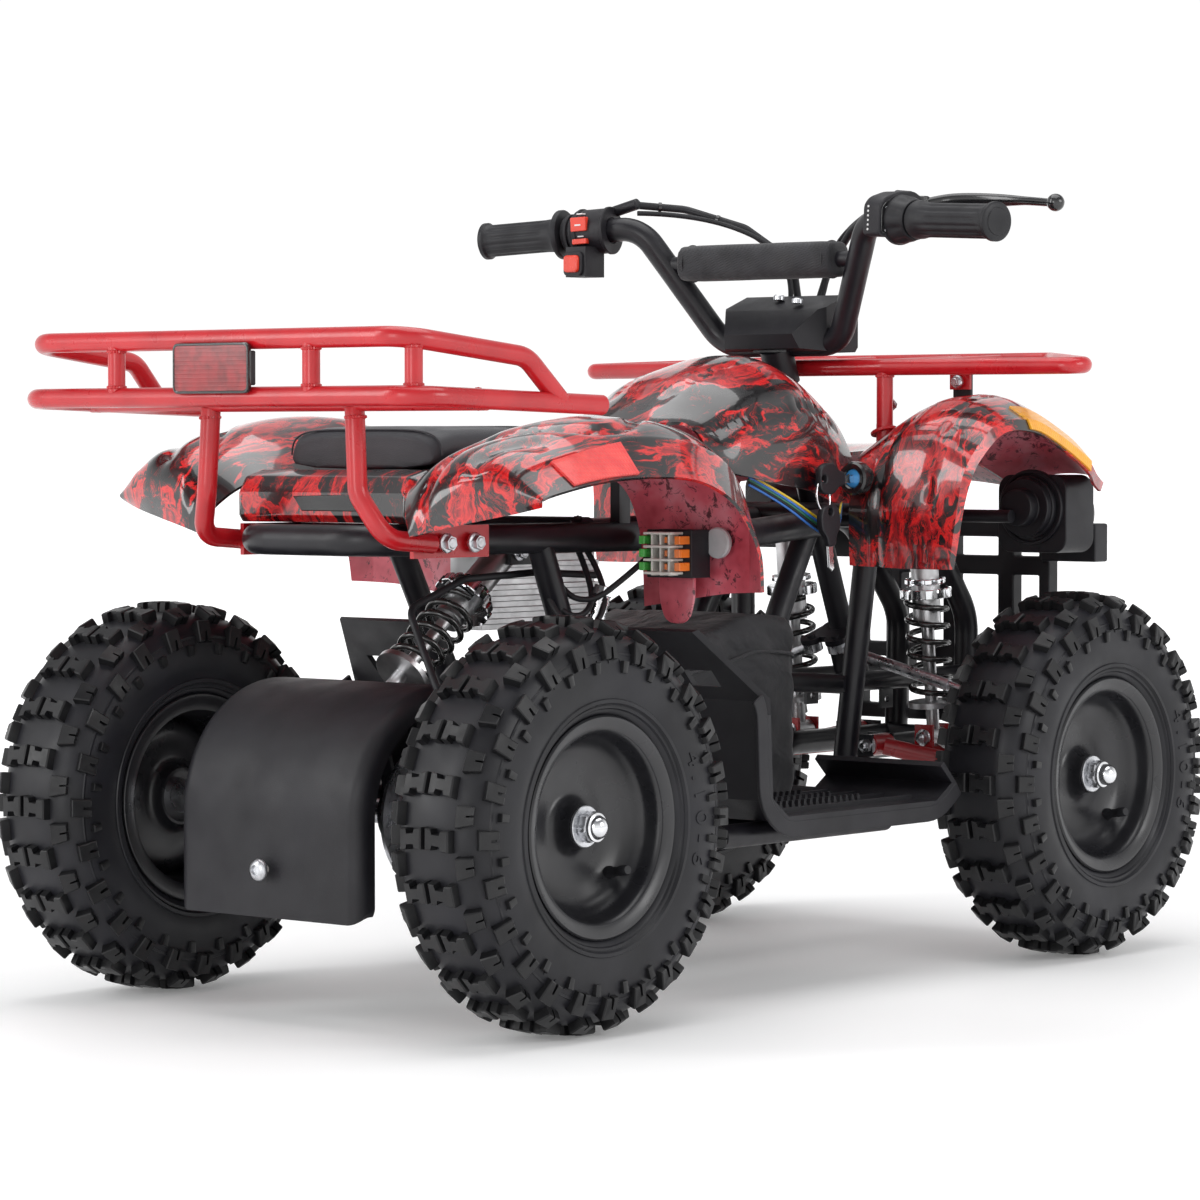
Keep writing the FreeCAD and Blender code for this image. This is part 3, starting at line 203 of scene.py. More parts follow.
# %% [markdown]
# A mesh becomes a piece once it has its finishes, its crisp edges and a body to ride on. The
# bevel could be modelled by hand on each edge. A modifier does it for all sharp edges at once
# and can be changed later.

# %% Place a piece on its body
def placed(name, mesh, body, finishes, sharp=32, bevel=0.0):
    for finish in finishes:
        mesh.materials.append(finish.material)
    mesh.shade_smooth()
    mesh.set_sharp_from_angle(angle=math.radians(sharp))
    piece = bpy.data.objects.new(name, mesh)
    bpy.context.scene.collection.objects.link(piece)
    if bevel:
        soften(piece, bevel)
    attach(piece, body)
    return piece


def soften(piece, width, limit=32):
    """Rounds the edges sharper than the limit by so many millimetres."""
    edge = piece.modifiers.new("Edges", "BEVEL")
    edge.width = width * MM
    edge.segments = 2
    edge.limit_method = "ANGLE"
    edge.angle_limit = math.radians(limit)
    edge.harden_normals = True
    return edge


print("shape helpers ready")

# %% [markdown]
# Moulded and pressed outlines have no true corners. `rounded` swaps each corner of a flat
# outline for a short curve, and `smooth_line` runs a soft curve through a few given points.
# `pressed` turns outlines into a plate with real holes: a flat curve in Blender fills itself,
# leaves the inner loops open and rounds its own rims.

# %% Outline helpers
def rounded(outline, radius, steps=4, closed=True):
    corners = [Vector(p) for p in outline]
    n = len(corners)
    result = []
    for i, corner in enumerate(corners):
        if not closed and i in (0, n - 1):
            result.append(tuple(corner))
            continue
        back, on = corners[i - 1] - corner, corners[(i + 1) % n] - corner
        reach = min(radius, back.length * 0.48, on.length * 0.48)
        first, last = corner + back.normalized() * reach, corner + on.normalized() * reach
        for k in range(steps + 1):
            t = k / steps
            result.append(tuple(first * (1 - t) ** 2 + corner * 2 * t * (1 - t) + last * t * t))
    return result


def smooth_line(points, steps=6):
    """A soft curve through the points, in as many dimensions as they have."""
    points = [Vector(p) for p in points]
    result = []
    for i in range(len(points) - 1):
        before = points[max(i - 1, 0)]
        a, b = points[i], points[i + 1]
        after = points[min(i + 2, len(points) - 1)]
        for k in range(steps):
            t = k / steps
            result.append(0.5 * (2 * a + (b - before) * t + (2 * before - 5 * a + 4 * b - after) * t * t
                                 + (3 * a - before - 3 * b + after) * t ** 3))
    result.append(points[-1])
    return result


def pressed(name, loops, origin, across, up, thick, body, finishes, edge=0.8, slot=None):
    """A plate from flat loops (outer first, then holes); origin, across and up place it."""
    flat = bpy.data.curves.new(name, "CURVE")
    flat.dimensions = "2D"
    flat.fill_mode = "BOTH"
    flat.extrude = max(thick / 2 - edge, 0.01) * MM
    flat.bevel_depth = edge * MM
    flat.offset = -edge * MM
    flat.bevel_resolution = 1
    for loop in loops:
        line = flat.splines.new("POLY")
        line.points.add(len(loop) - 1)
        for point, (u, v) in zip(line.points, loop):
            point.co = (u * MM, v * MM, 0, 1)
        line.use_cyclic_u = True
    source = bpy.data.objects.new(name + "_flat", flat)
    mesh = bpy.data.meshes.new_from_object(source)
    bpy.data.objects.remove(source)
    across, up = Vector(across).normalized(), Vector(up).normalized()
    out = across.cross(up)
    start = Vector(origin) * MM
    for point in mesh.vertices:
        u, v, w = point.co
        point.co = start + across * u + up * v + out * w
    mesh.name = name
    return placed(name, mesh, body, finishes, 40, 0)


def wire(name, points, radius, body, finish, steps=8):
    """A cable of one thickness on one smooth spline."""
    line = bpy.data.curves.new(name, "CURVE")
    line.dimensions = "3D"
    line.bevel_depth = radius * MM
    line.bevel_resolution = 3
    line.use_fill_caps = True
    spline = line.splines.new("NURBS")
    spline.points.add(len(points) - 1)
    for point, place in zip(spline.points, points):
        point.co = (*(Vector(place) * MM), 1)
    spline.order_u = 3
    spline.use_endpoint_u = True
    spline.resolution_u = steps
    line.materials.append(finish.material)
    piece = bpy.data.objects.new(name, line)
    bpy.context.scene.collection.objects.link(piece)
    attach(piece, body)
    return piece


print("outline helpers ready")

# %% [markdown]
# ## Finishes
# Each finish is a small graph of nodes on Blender's Principled shader. `Finish` starts one,
# and its `add` makes a node and wires its inputs in one call. Patterns follow each mesh's own
# coordinates, so they stay on the part when it turns. A number that is the same all over is
# set on the shader itself; only what varies comes from nodes.

# %% Finish helper
class Finish:
    def __init__(self, name, colour, rough, metal=0.0, **sockets):
        self.material = bpy.data.materials.new(name)
        self.material.use_nodes = True
        self.tree = self.material.node_tree
        self.shader = self.tree.nodes["Principled BSDF"]
        self.shader.inputs["Base Color"].default_value = (*colour, 1)
        self.shader.inputs["Roughness"].default_value = rough
        self.shader.inputs["Metallic"].default_value = metal
        for key, value in sockets.items():
            self.shader.inputs[key.replace("_", " ")].default_value = value
        self.place = self.add("ShaderNodeTexCoord").outputs["Object"]
        self.height = None

    def add(self, kind, inputs=(), **settings):
        node = self.tree.nodes.new(kind)
        for key, value in settings.items():
            setattr(node, key, value)
        for key, value in dict(inputs).items():
            if isinstance(value, bpy.types.NodeSocket):
                self.tree.links.new(value, node.inputs[key])
            else:
                node.inputs[key].default_value = value
        return node

    def noise(self, scale, detail=3.0, rough=0.5, place=None, bend=0.0):
        node = self.add("ShaderNodeTexNoise", {"Vector": place or self.place, "Scale": scale,
                                               "Detail": detail, "Roughness": rough, "Distortion": bend})
        return node.outputs["Fac"]

    def maths(self, how, a, b=0.5):
        return self.add("ShaderNodeMath", {0: a, 1: b}, operation=how).outputs[0]

    def ramp(self, value, stops):
        node = self.add("ShaderNodeValToRGB", {"Fac": value})
        marks = node.color_ramp.elements
        while len(marks) < len(stops):
            marks.new(0.5)
        for mark, (at, colour) in zip(marks, stops):
            mark.position = at
            mark.color = (*colour, 1)
        return node.outputs["Color"]

    def span(self, value, low, high, new_low, new_high):
        node = self.add("ShaderNodeMapRange", {"Value": value, "From Min": low, "From Max": high,
                                               "To Min": new_low, "To Max": new_high})
        return node.outputs["Result"]

    def mix(self, share, a, b):
        node = self.add("ShaderNodeMix", data_type="RGBA")
        for key, value in (("Factor", share), ("A", a), ("B", b)):
            socket = [s for s in node.inputs if s.name == key and s.enabled][0]
            if isinstance(value, bpy.types.NodeSocket):
                self.tree.links.new(value, socket)
            else:
                socket.default_value = (*value, 1) if isinstance(value, tuple) else value
        return [s for s in node.outputs if s.enabled][0]

    def bump(self, value, depth, strength=1.0):
        """Adds a relief of so many millimetres to what the surface already has."""
        inputs = {"Height": value, "Distance": depth * MM, "Strength": strength}
        if self.height is not None:
            inputs["Normal"] = self.height
        self.height = self.add("ShaderNodeBump", inputs).outputs["Normal"]
        self.tree.links.new(self.height, self.shader.inputs["Normal"])
        return self

    def use(self, socket, value):
        self.tree.links.new(value, self.shader.inputs[socket])
        return self

    def worn(self, low, high, scale=38):
        """Lets the roughness wander between two values."""
        return self.use("Roughness", self.span(self.noise(scale, 4), 0.35, 0.65, low, high))

    def tinted(self, first, second, scale=24):
        return self.use("Base Color", self.ramp(self.noise(scale, 4), [(0.35, first), (0.65, second)]))


def surface(name, dark, light, smooth, rough, grain, tint_scale=24, wear_scale=38, metal=0.0, **sockets):
    """A finish in one call. Grain is a noise's scale, its detail, its depth and its strength."""
    finish = Finish(name, light, rough, metal, **sockets)
    finish.worn(smooth, rough, wear_scale).tinted(dark, light, tint_scale)
    if grain:
        scale, detail, depth, strength = grain
        finish.bump(finish.noise(scale, detail), depth, strength)
    return finish


print("finish helper ready")

# %% [markdown]
# Powder coat is sprayed dry and baked, which leaves a fine orange peel: a noise about a
# millimetre across and a few hundredths deep. The red racks are glossier than the black
# frame, so they have a clear coat on top. Zinc and chrome are plain metals whose roughness
# wanders a little, as handled parts do.

# %% Paint and metal
frame_black = surface("powder_black", (0.006, 0.0055, 0.008), (0.011, 0.0105, 0.014), 0.30, 0.46,
                      (1100, 2, 0.05, 0.5), Specular_IOR_Level=0.4)
rack_red = surface("powder_red", (0.42, 0.005, 0.010), (0.52, 0.009, 0.015), 0.26, 0.38,
                   (900, 2, 0.06, 0.5), Coat_Weight=0.3, Coat_Roughness=0.15)
arm_red = surface("arm_red", (0.30, 0.006, 0.010), (0.42, 0.010, 0.014), 0.26, 0.42,
                  (900, 2, 0.05, 0.5), Coat_Weight=0.4, Coat_Roughness=0.2)
rim_black = surface("rim_black", (0.009, 0.009, 0.011), (0.015, 0.015, 0.018), 0.24, 0.38,
                    (1300, 2, 0.04, 0.5), 24, 30, Coat_Weight=0.25, Coat_Roughness=0.3)
zinc = surface("zinc_plate", (0.52, 0.53, 0.55), (0.68, 0.69, 0.72), 0.22, 0.42,
               (1500, 3, 0.03, 0.4), 200, 120, 1.0)
chrome = surface("chrome", (0.74, 0.75, 0.77), (0.86, 0.87, 0.89), 0.08, 0.2,
                 (1200, 2, 0.01, 0.3), 90, 60, 1.0)
chain_steel = surface("chain_steel", (0.13, 0.12, 0.12), (0.27, 0.26, 0.25), 0.28, 0.55,
                      (1600, 3, 0.04, 0.5), 260, 200, 1.0)
alloy = surface("cast_alloy", (0.55, 0.55, 0.56), (0.70, 0.70, 0.71), 0.3, 0.5,
                (1400, 4, 0.05, 0.5), 60, 70, 1.0)
spring_black = surface("spring_black", (0.010, 0.010, 0.010), (0.018, 0.018, 0.018), 0.18, 0.3,
                       (900, 2, 0.03, 0.4), Coat_Weight=0.6, Coat_Roughness=0.12)
print("paint and metal finishes", 9)

# %% [markdown]
# Tyre rubber is nearly black with a faint blue tint, darker and with a coarser grain on the
# knobs. Moulded polypropylene has a leather-like grain of tiny cells. Seat vinyl has a
# larger one, drawn here with Voronoi cells, whose borders sink a little. Woven nylon is two
# crossing waves.

# %% Rubber, plastic and cloth
tyre_rubber = surface("tyre_rubber", (0.007, 0.007, 0.009), (0.014, 0.014, 0.018), 0.34, 0.52,
                      (60, 4, 0.25, 0.35), 14, 26, Specular_IOR_Level=0.34)
tyre_rubber.bump(tyre_rubber.noise(1500, 3), 0.05, 0.6)
knob_rubber = surface("knob_rubber", (0.005, 0.005, 0.006), (0.013, 0.013, 0.014), 0.30, 0.5,
                      (900, 4, 0.10, 0.7), 40, 60, Specular_IOR_Level=0.36)
soft_rubber = surface("soft_rubber", (0.009, 0.009, 0.011), (0.016, 0.016, 0.019), 0.42, 0.6,
                      (1100, 3, 0.06, 0.6), 30, 40, Specular_IOR_Level=0.36)


def grained(finish, scale, depth):
    """Sinks the borders of many small cells, as embossed plastic has."""
    cells = finish.add("ShaderNodeTexVoronoi", {"Vector": finish.place, "Scale": scale},
                       feature="DISTANCE_TO_EDGE")
    return finish.bump(finish.span(cells.outputs["Distance"], 0.0, 0.25, 0.0, 1.0), depth, 0.7)


moulded_black = surface("moulded_black", (0.008, 0.0075, 0.010), (0.013, 0.0125, 0.016), 0.42, 0.56,
                        None, 20, 30, Specular_IOR_Level=0.36)
grained(moulded_black, 1100, 0.05)
glossy_black = surface("gloss_black", (0.006, 0.006, 0.007), (0.012, 0.012, 0.013), 0.14, 0.26,
                       (500, 2, 0.02, 0.3), 20, 30, Coat_Weight=0.5, Coat_Roughness=0.08)
vinyl = surface("seat_vinyl", (0.018, 0.018, 0.022), (0.027, 0.027, 0.033), 0.38, 0.52, None, 16, 22)
grained(vinyl, 620, 0.12)


FULL_TURN = 6.2832


def woven(finish, pitch, depth, lean=(0.0, 0.0, 0.0)):
    """Two crossing sets of threads, a pitch in millimetres apart."""
    turn = finish.add("ShaderNodeMapping", {"Vector": finish.place, "Rotation": lean})
    settings = {"Vector": turn.outputs[0], "Scale": 1 / (pitch * MM) / FULL_TURN * 2, "Distortion": 0.25,
                "Detail": 1.0}
    threads = []
    for way in ("X", "Z"):
        wave = finish.add("ShaderNodeTexWave", settings, wave_type="BANDS", bands_direction=way)
        threads.append(wave.outputs["Fac"])
    return finish.bump(finish.maths("MAXIMUM", *threads), depth, 0.8)


nylon = surface("bag_nylon", (0.006, 0.006, 0.008), (0.015, 0.015, 0.018), 0.5, 0.7, None, 12, 18,
                Sheen_Weight=0.12, Sheen_Roughness=0.4)
woven(nylon, 1.0, 0.18)
nylon.bump(nylon.noise(13, 3, bend=1.2), 9.0, 0.9)
webbing = surface("pad_weave", (0.009, 0.009, 0.011), (0.019, 0.019, 0.023), 0.6, 0.8, None, 60, 40,
                  Sheen_Weight=0.15, Sheen_Roughness=0.45)
woven(webbing, 1.6, 0.3, (0.5, 0.785, 0.2))
print("rubber, plastic and cloth finishes", 8)

# %% [markdown]
# ## The flame film
# The bodywork is dipped: a printed film floats on water, the black part is pushed through it,
# and a clear coat goes on top. The print is wandering flame with thin bright threads.
# It is drawn by bending the coordinates with one noise before a second noise reads them,
# which gives licks instead of clouds. A narrow band of that value becomes the bright threads.
# Inside, the raw moulding shows: pink red, with the black spray drifting in as specks.

# %% Flame film
def flame(name, amount, stretch):
    """More amount, more red on the panel. Stretch draws the licks out along one way."""
    film = Finish(name, (0.1, 0.0, 0.0), 0.3, Coat_Weight=1.0, Coat_Roughness=0.05)
    turned = {"Vector": film.place, "Rotation": (0.35, 0.5, 0.62), "Scale": stretch}
    drift = film.add("ShaderNodeMapping", turned).outputs[0]
    bend = film.add("ShaderNodeTexNoise", {"Vector": drift, "Scale": 11.0, "Detail": 3.0}).outputs["Color"]
    push = film.add("ShaderNodeVectorMath", {0: bend, 1: (0.5, 0.5, 0.5)}, operation="SUBTRACT").outputs[0]
    pushed = film.add("ShaderNodeVectorMath", {0: push, "Scale": 0.17}, operation="SCALE").outputs[0]
    bent = film.add("ShaderNodeVectorMath", {0: drift, 1: pushed}, operation="ADD").outputs[0]
    broad = film.noise(9.0, 2.0, 0.5, bent)
    licks = film.noise(24.0, 7.0, 0.62, bent, 0.5)
    fire = film.maths("ADD", film.maths("MULTIPLY", broad, 0.55), film.maths("MULTIPLY", licks, 0.55))
    fire = film.maths("ADD", fire, amount)
    black, ember = (0.004, 0.003, 0.004), (0.07, 0.002, 0.004)
    red, bright, pale = (0.42, 0.006, 0.010), (0.72, 0.016, 0.014), (0.62, 0.06, 0.06)
    colour = film.ramp(fire, [(0.0, black), (0.535, black), (0.552, ember), (0.572, bright), (0.60, red),
                              (0.66, ember), (0.685, black), (0.74, red), (0.80, pale), (0.88, ember)])
    threads = film.noise(15.0, 9.0, 0.7, bent, 1.2)
    thin = film.maths("ABSOLUTE", film.maths("SUBTRACT", threads, 0.5))
    thread = film.span(thin, 0.0, 0.02, 0.85, 0.0)
    thread = film.maths("MULTIPLY", thread, film.span(fire, 0.48, 0.56, 0.0, 1.0))
    film.use("Base Color", film.mix(thread, colour, bright))
    film.use("Roughness", film.span(film.noise(50, 3), 0.3, 0.7, 0.24, 0.36))
    film.bump(film.noise(420, 2), 0.02, 0.3)
    return film


flame_dark = flame("flame_dark", -0.014, (0.7, 2.1, 1.5))
flame_red = flame("flame_red", -0.003, (0.65, 2.2, 1.5))
flame_bright = flame("flame_bright", 0.035, (0.5, 2.4, 1.3))

inner_red = Finish("inner_red", (0.42, 0.02, 0.04), 0.4, Coat_Weight=0.3, Coat_Roughness=0.3)
specks = inner_red.noise(95, 8, 0.75, bend=0.6)
clouds = inner_red.noise(13, 4, 0.6)
RAW_TONES = [(0.34, (0.40, 0.03, 0.05)), (0.5, (0.64, 0.10, 0.14)), (0.66, (0.72, 0.27, 0.32))]
raw = inner_red.ramp(clouds, RAW_TONES)
gathered = inner_red.maths("ADD", specks, inner_red.maths("MULTIPLY", clouds, 0.35))
speck = inner_red.span(gathered, 0.735, 0.79, 0.0, 0.9)
inner_red.use("Base Color", inner_red.mix(speck, raw, (0.03, 0.004, 0.008))).worn(0.34, 0.5)
inner_red.bump(inner_red.noise(700, 2), 0.05, 0.4)
print("bodywork finishes", 4)

# %% [markdown]
# Small coloured parts: the red and amber reflectors are clear plastic over a grid of tiny
# prisms, drawn as two crossing waves. The switches, fuses, leads and the lamp glass are
# glossy plastics.

# %% Small colours
def reflector(name, colour, deep):
    glow = surface(name, deep, colour, 0.3, 0.42, None, 90, Coat_Weight=0.35, Coat_Roughness=0.08)
    return woven(glow, 3.4, 0.5)


def glossy(name, colour, rough=0.3):
    shade = tuple(c * 0.85 for c in colour)
    return surface(name, shade, colour, rough * 0.8, rough * 1.2, (700, 2, 0.03, 0.4), 60,
                   Coat_Weight=0.3, Coat_Roughness=0.15)


reflect_red = reflector("reflector_red", (0.86, 0.09, 0.08), (0.76, 0.06, 0.06))
rack_glass = reflector("reflector_deep", (0.30, 0.010, 0.014), (0.16, 0.006, 0.008))
reflect_amber = reflector("reflector_amber", (0.90, 0.42, 0.015), (0.84, 0.36, 0.01))
switch_red = glossy("switch_red", (0.75, 0.045, 0.018))
print_white = glossy("print_white", (0.75, 0.75, 0.75), 0.5)
fuse_white = glossy("fuse_white", (0.72, 0.71, 0.66), 0.45)
fuse_green = glossy("fuse_green", (0.10, 0.55, 0.10))
fuse_orange = glossy("fuse_orange", (0.85, 0.20, 0.02))
lock_blue = glossy("lock_blue", (0.05, 0.32, 0.72))
lead_yellow = glossy("lead_yellow", (0.75, 0.52, 0.02))
lead_blue = glossy("lead_blue", (0.03, 0.16, 0.55))
lead_green = glossy("lead_green", (0.02, 0.16, 0.09))
cover_grey = glossy("cover_grey", (0.46, 0.47, 0.48), 0.5)
lens = surface("lens_clear", (0.86, 0.88, 0.91), (0.93, 0.95, 0.97), 0.03, 0.08, (60, 2, 0.1, 0.2), 80, 50,
               Transmission_Weight=0.85, Coat_Weight=0.5)
print("small finishes", 14)

# %% [markdown]
# ## The welded and turned parts
# Tubes, shafts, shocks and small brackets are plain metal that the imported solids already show
# in their true form, so they stay and only get their finish.

# %% Finishes for the solids that stay
def painted(finish, *names):
    for name in names:
        solid = nodes[name]
        solid.data.materials.clear()
        solid.data.materials.append(finish.material)


painted(frame_black, "frame", "frame_floor", "frame_uprights", "frame_nose", "frame_cross",
        "motor", "steering_stem", "handlebar")
painted(rack_red, "rear_rack", "front_rack")
painted(zinc, "knuckle_left", "knuckle_right", "tie_rod_left", "tie_rod_right", "rear_axle", "brake_disc")
painted(chain_steel, "chain", "sprocket")
painted(spring_black, "shock_springs")
painted(alloy, "front_shock_left", "front_shock_right", "rear_shock")
painted(soft_rubber, "control_cables", "rear_brake_cable")
print("solids shown as they are", len([n for n in nodes if nodes[n].data.materials]))

# %% [markdown]
# ## Tyres
# A 4.10-6 tyre is a rubber ring with moulded knobs. First the section: the crown is nearly
# flat, the shoulder turns down and the sidewall bulges a little before it tucks in at the rim.
# A knob is drawn flat, as steps across and round the tread, and then laid on that section.
# The first points of the section belong to the crown, where the sidewall's ribs may not sit.

# %% Tyre section
HALF_SECTION = smooth_line([(0, 156.1), (12, 155.9), (24, 154.6), (32, 151.4), (38.5, 146.2), (43, 139),
                            (46, 130), (47.3, 120), (47.2, 110), (45.4, 100), (42.5, 93), (40, 89.5)], 4)
CROWN_POINTS = 16
ALONG = [0.0]
for before, after in zip(HALF_SECTION, HALF_SECTION[1:]):
    ALONG.append(ALONG[-1] + (after - before).length)


def on_section(across, height):
    """Where a point so far across the tread, measured on its surface, stands above it."""
    reach = min(abs(across), ALONG[-2])
    k = max(i for i in range(len(ALONG) - 1) if ALONG[i] <= reach)
    share = (reach - ALONG[k]) / (ALONG[k + 1] - ALONG[k])
    point = HALF_SECTION[k].lerp(HALF_SECTION[k + 1], share)
    run = (HALF_SECTION[k + 1] - HALF_SECTION[k]).normalized()
    out = Vector((-run.y, run.x))
    place = point + out * height
    return math.copysign(place.x, across) if across else place.x, place.y


def knob_height(across):
    marks = [(0, 8.6), (40, 8.2), (52, 6.6), (66, 2.6)]
    reach = abs(across)
    for (a, high), (b, low) in zip(marks, marks[1:]):
        if reach <= b:
            return high + (low - high) * (reach - a) / (b - a)
    return marks[-1][1]


print("section length", round(ALONG[-1], 1))

# %% [markdown]
# The tread has four kinds of knob on each side of the middle: a bow tie, a notched block, a
# shoulder block and a short bar on the sidewall. Every second kind sits half a pitch on, as on
# the real tyre. Carving them out of a solid ring would cost far more faces than laying
# separate knobs on it.

# %% Knobs on one tyre
BOW = [(-11, -8.5), (-5, -8), (-4, -4.5), (4, -4.5), (5, -8), (11, -8.5)]
BOW += [(11, 8.5), (5, 8), (4, 4.5), (-4, 4.5), (-5, 8), (-11, 8.5)]
BLOCK = [(-6, -9), (6, -7.5), (6, -1), (1, -0.8), (1, 0.8), (6, 1), (6, 7.5), (-6, 9)]
SHOULDER = [(-8, -8), (8, -9), (8, -2), (0, -1.4), (0, 1.4), (8, 2), (8, 9), (-8, 8)]
SIDE_BAR = [(-4, -4), (5, -3.5), (5, 3.5), (-4, 4)]
ROWS = 24
TREAD_RADIUS = 160.0
PITCH = 2 * math.pi * TREAD_RADIUS / ROWS


class Tyre(Shape):
    def __init__(self, centre, outward):
        super().__init__()
        self.centre, self.outward = Vector(centre), outward

    def at(self, across, turn, height):
        a, r = on_section(across, height)
        angle = turn / TREAD_RADIUS
        return self.centre + Vector((r * math.cos(angle), a * self.outward, r * math.sin(angle)))

    def knob(self, outline, across, turn, flip=1, shrink=0.86, lean=0.0):
        middle = sum(v for _, v in outline) / len(outline)
        loops = []
        for inset, level in ((1.06, -1.5), (1.0, 0.62), (0.97, 0.9), (shrink, 1.0)):
            loop = []
            for u, v in outline:
                a = across + flip * u * inset
                height = level if level < 0 else level * knob_height(a)
                loop.append(self.at(a, turn + (v - middle) * inset + lean * u, height))
            loops.append(loop)
        n = len(outline)
        points = [p for loop in loops for p in loop]
        faces = [tuple(range(n)), tuple(range(4 * n - 1, 3 * n - 1, -1))]
        for k in range(3):
            faces += [(k * n + i, k * n + (i + 1) % n, (k + 1) * n + (i + 1) % n, (k + 1) * n + i)
                      for i in range(n)]
        return self.add(points, faces, 1)

    def side_point(self, angle, radius, height):
        """A point on the outer sidewall, so far from the axle and so high above the rubber."""
        k = max(i for i in range(len(HALF_SECTION) - 1) if HALF_SECTION[i].y >= radius)
        a, b = HALF_SECTION[k], HALF_SECTION[k + 1]
        share = (a.y - radius) / (a.y - b.y)
        out = a.x + (b.x - a.x) * share + height
        return self.centre + Vector((radius * math.cos(angle), out * self.outward, radius * math.sin(angle)))

    def dash(self, angle, low, high, width):
        """A short raised bar that points at the axle."""
        step = width / low
        corners = ((angle, low), (angle + step, low), (angle + step, high), (angle, high))
        self.prism([self.side_point(a, r, -0.5) for a, r in corners],
                   [self.side_point(a, r, 0.7) for a, r in corners])


print("knobs on a tyre", ROWS * 8)

# %% [markdown]
# The sidewall carries raised ribs, a ring of short dashes and the tyre's size in figures,
# which are moulded with it. A font curve gives the figures their outline, and each point of
# it is then laid on the curved wall.

# %% One whole tyre
def letters(tyre, words, size, radius, start):
    """Raised lettering that follows the sidewall, read from outside."""
    font = bpy.data.curves.new("lettering", "FONT")
    font.body = words
    font.size = size * MM
    font.space_character = 1.5
    font.extrude = 0.7 * MM
    font.resolution_u = 3
    source = bpy.data.objects.new("lettering", font)
    mesh = bpy.data.meshes.new_from_object(source)
    points = []
    for point in mesh.vertices:
        x, y, z = point.co / MM
        angle = start + tyre.outward * x * 1.25 / radius
        points.append(tyre.side_point(angle, radius + y, z + 0.1))
    tyre.add(points, [tuple(f.vertices) for f in mesh.polygons])
    bpy.data.objects.remove(source)
    bpy.data.meshes.remove(mesh)
    bpy.data.curves.remove(font)


def tyre_piece(name, centre, outward, body, start):
    tyre = Tyre(centre, outward)
    section = [(a, r) for a, r in HALF_SECTION] + [(37.7, 87.3), (37.7, 76.3)]
    ring_section = [(-a, r) for a, r in reversed(section)] + section[1:]
    tyre.spin(centre, (0, outward, 0), ring_section, 120)
    for k in range(ROWS):
        turn = k * PITCH
        for side in (1, -1):
            tyre.knob(BOW, side * 12.6, turn, side, lean=0.08)
            tyre.knob(BLOCK, side * 33, turn + PITCH * (0.5 + 0.04 * (k % 2)), side, lean=-0.12)
            tyre.knob(SHOULDER, side * (50 + 2 * (k % 2)), turn, side, lean=0.06)
            tyre.knob(SIDE_BAR, side * 63, turn + PITCH / 2, side, 0.8)
    for radius, half, high in ((136.0, 0.9, 0.9), (99.0, 1.4, 1.2), (94.5, 1.0, 0.9)):
        face = min(HALF_SECTION[CROWN_POINTS:], key=lambda p: abs(p.y - radius)).x
        rib = [(face - 1, radius - half * 2), (face + high, radius - half), (face + high, radius + half)]
        rib.append((face - 1, radius + half * 2))
        for side in (1, -1):
            tyre.spin(centre, (0, outward * side, 0), rib, 120)
    letters(tyre, "4.10-6", 19.0, 107.0, start)
    for k in range(60):
        tyre.dash(2 * math.pi * k / 60, 128.5, 131.5, 0.9)
    return tyre.made(name, body, [tyre_rubber, knob_rubber], 30, slot="tyre")


for end, x, track, left_body, right_body in WHEELS:
    for side, out in SIDES:
        body = left_body if side == "left" else right_body
        start = 0.5 if side == "right" else math.pi - 0.5
        piece = tyre_piece(f"{end}_tyre_rubber_{side}", (x, track * out, AXLE_HEIGHT), out, body, start)
        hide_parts(f"{end}_tyre_{side}")
        print(piece.name, len(piece.data.polygons), "faces")

# %% [markdown]
# ## Rims
# Each rim is pressed from sheet: a rolled edge, a deep well, a drop to a dished centre and a
# hub boss. Outside it sits a washer, a hexagon nut and a chromed cap nut, and a rubber valve
# stem leans out of the dish.

# %% Rims, nuts and valves
RIM_FACE = [(41.5, 86.5), (41.2, 84.2), (39.8, 80.2), (37.6, 76.6), (34.2, 74.2), (28, 73), (22.6, 71.6),
            (18.5, 69), (13.5, 65.8), (9.5, 61.5), (6.8, 56), (4.7, 50), (3.6, 44), (3.2, 38), (3.2, 27),
            (4.8, 22.5), (8.5, 19.6), (13, 18.0), (19.6, 17.2), (20, 16.6)]
RIM_BACK = [(-20, 20), (-20, 24), (-12, 27), (-8, 34), (-8, 52), (-4, 62), (2, 68), (-20, 68.5), (-36, 72.5),
            (-40, 76), (-41.5, 84), (-41.5, 87), (-40.2, 87.8), (-38.6, 87), (-38, 77), (-20, 74.2),
            (20, 74.2), (38, 77), (38.6, 87), (40.2, 87.8)]
HUB_HALF, RIM_FACE_OUT = 20, 20.2
NUT_RADIUS, NUT_CHAMFER = 12.6, 11.718
BORE = {"rear": 10.2, "front": 8.2}
AXLE_TIP = {"rear": 42.5, "front": 46.5}


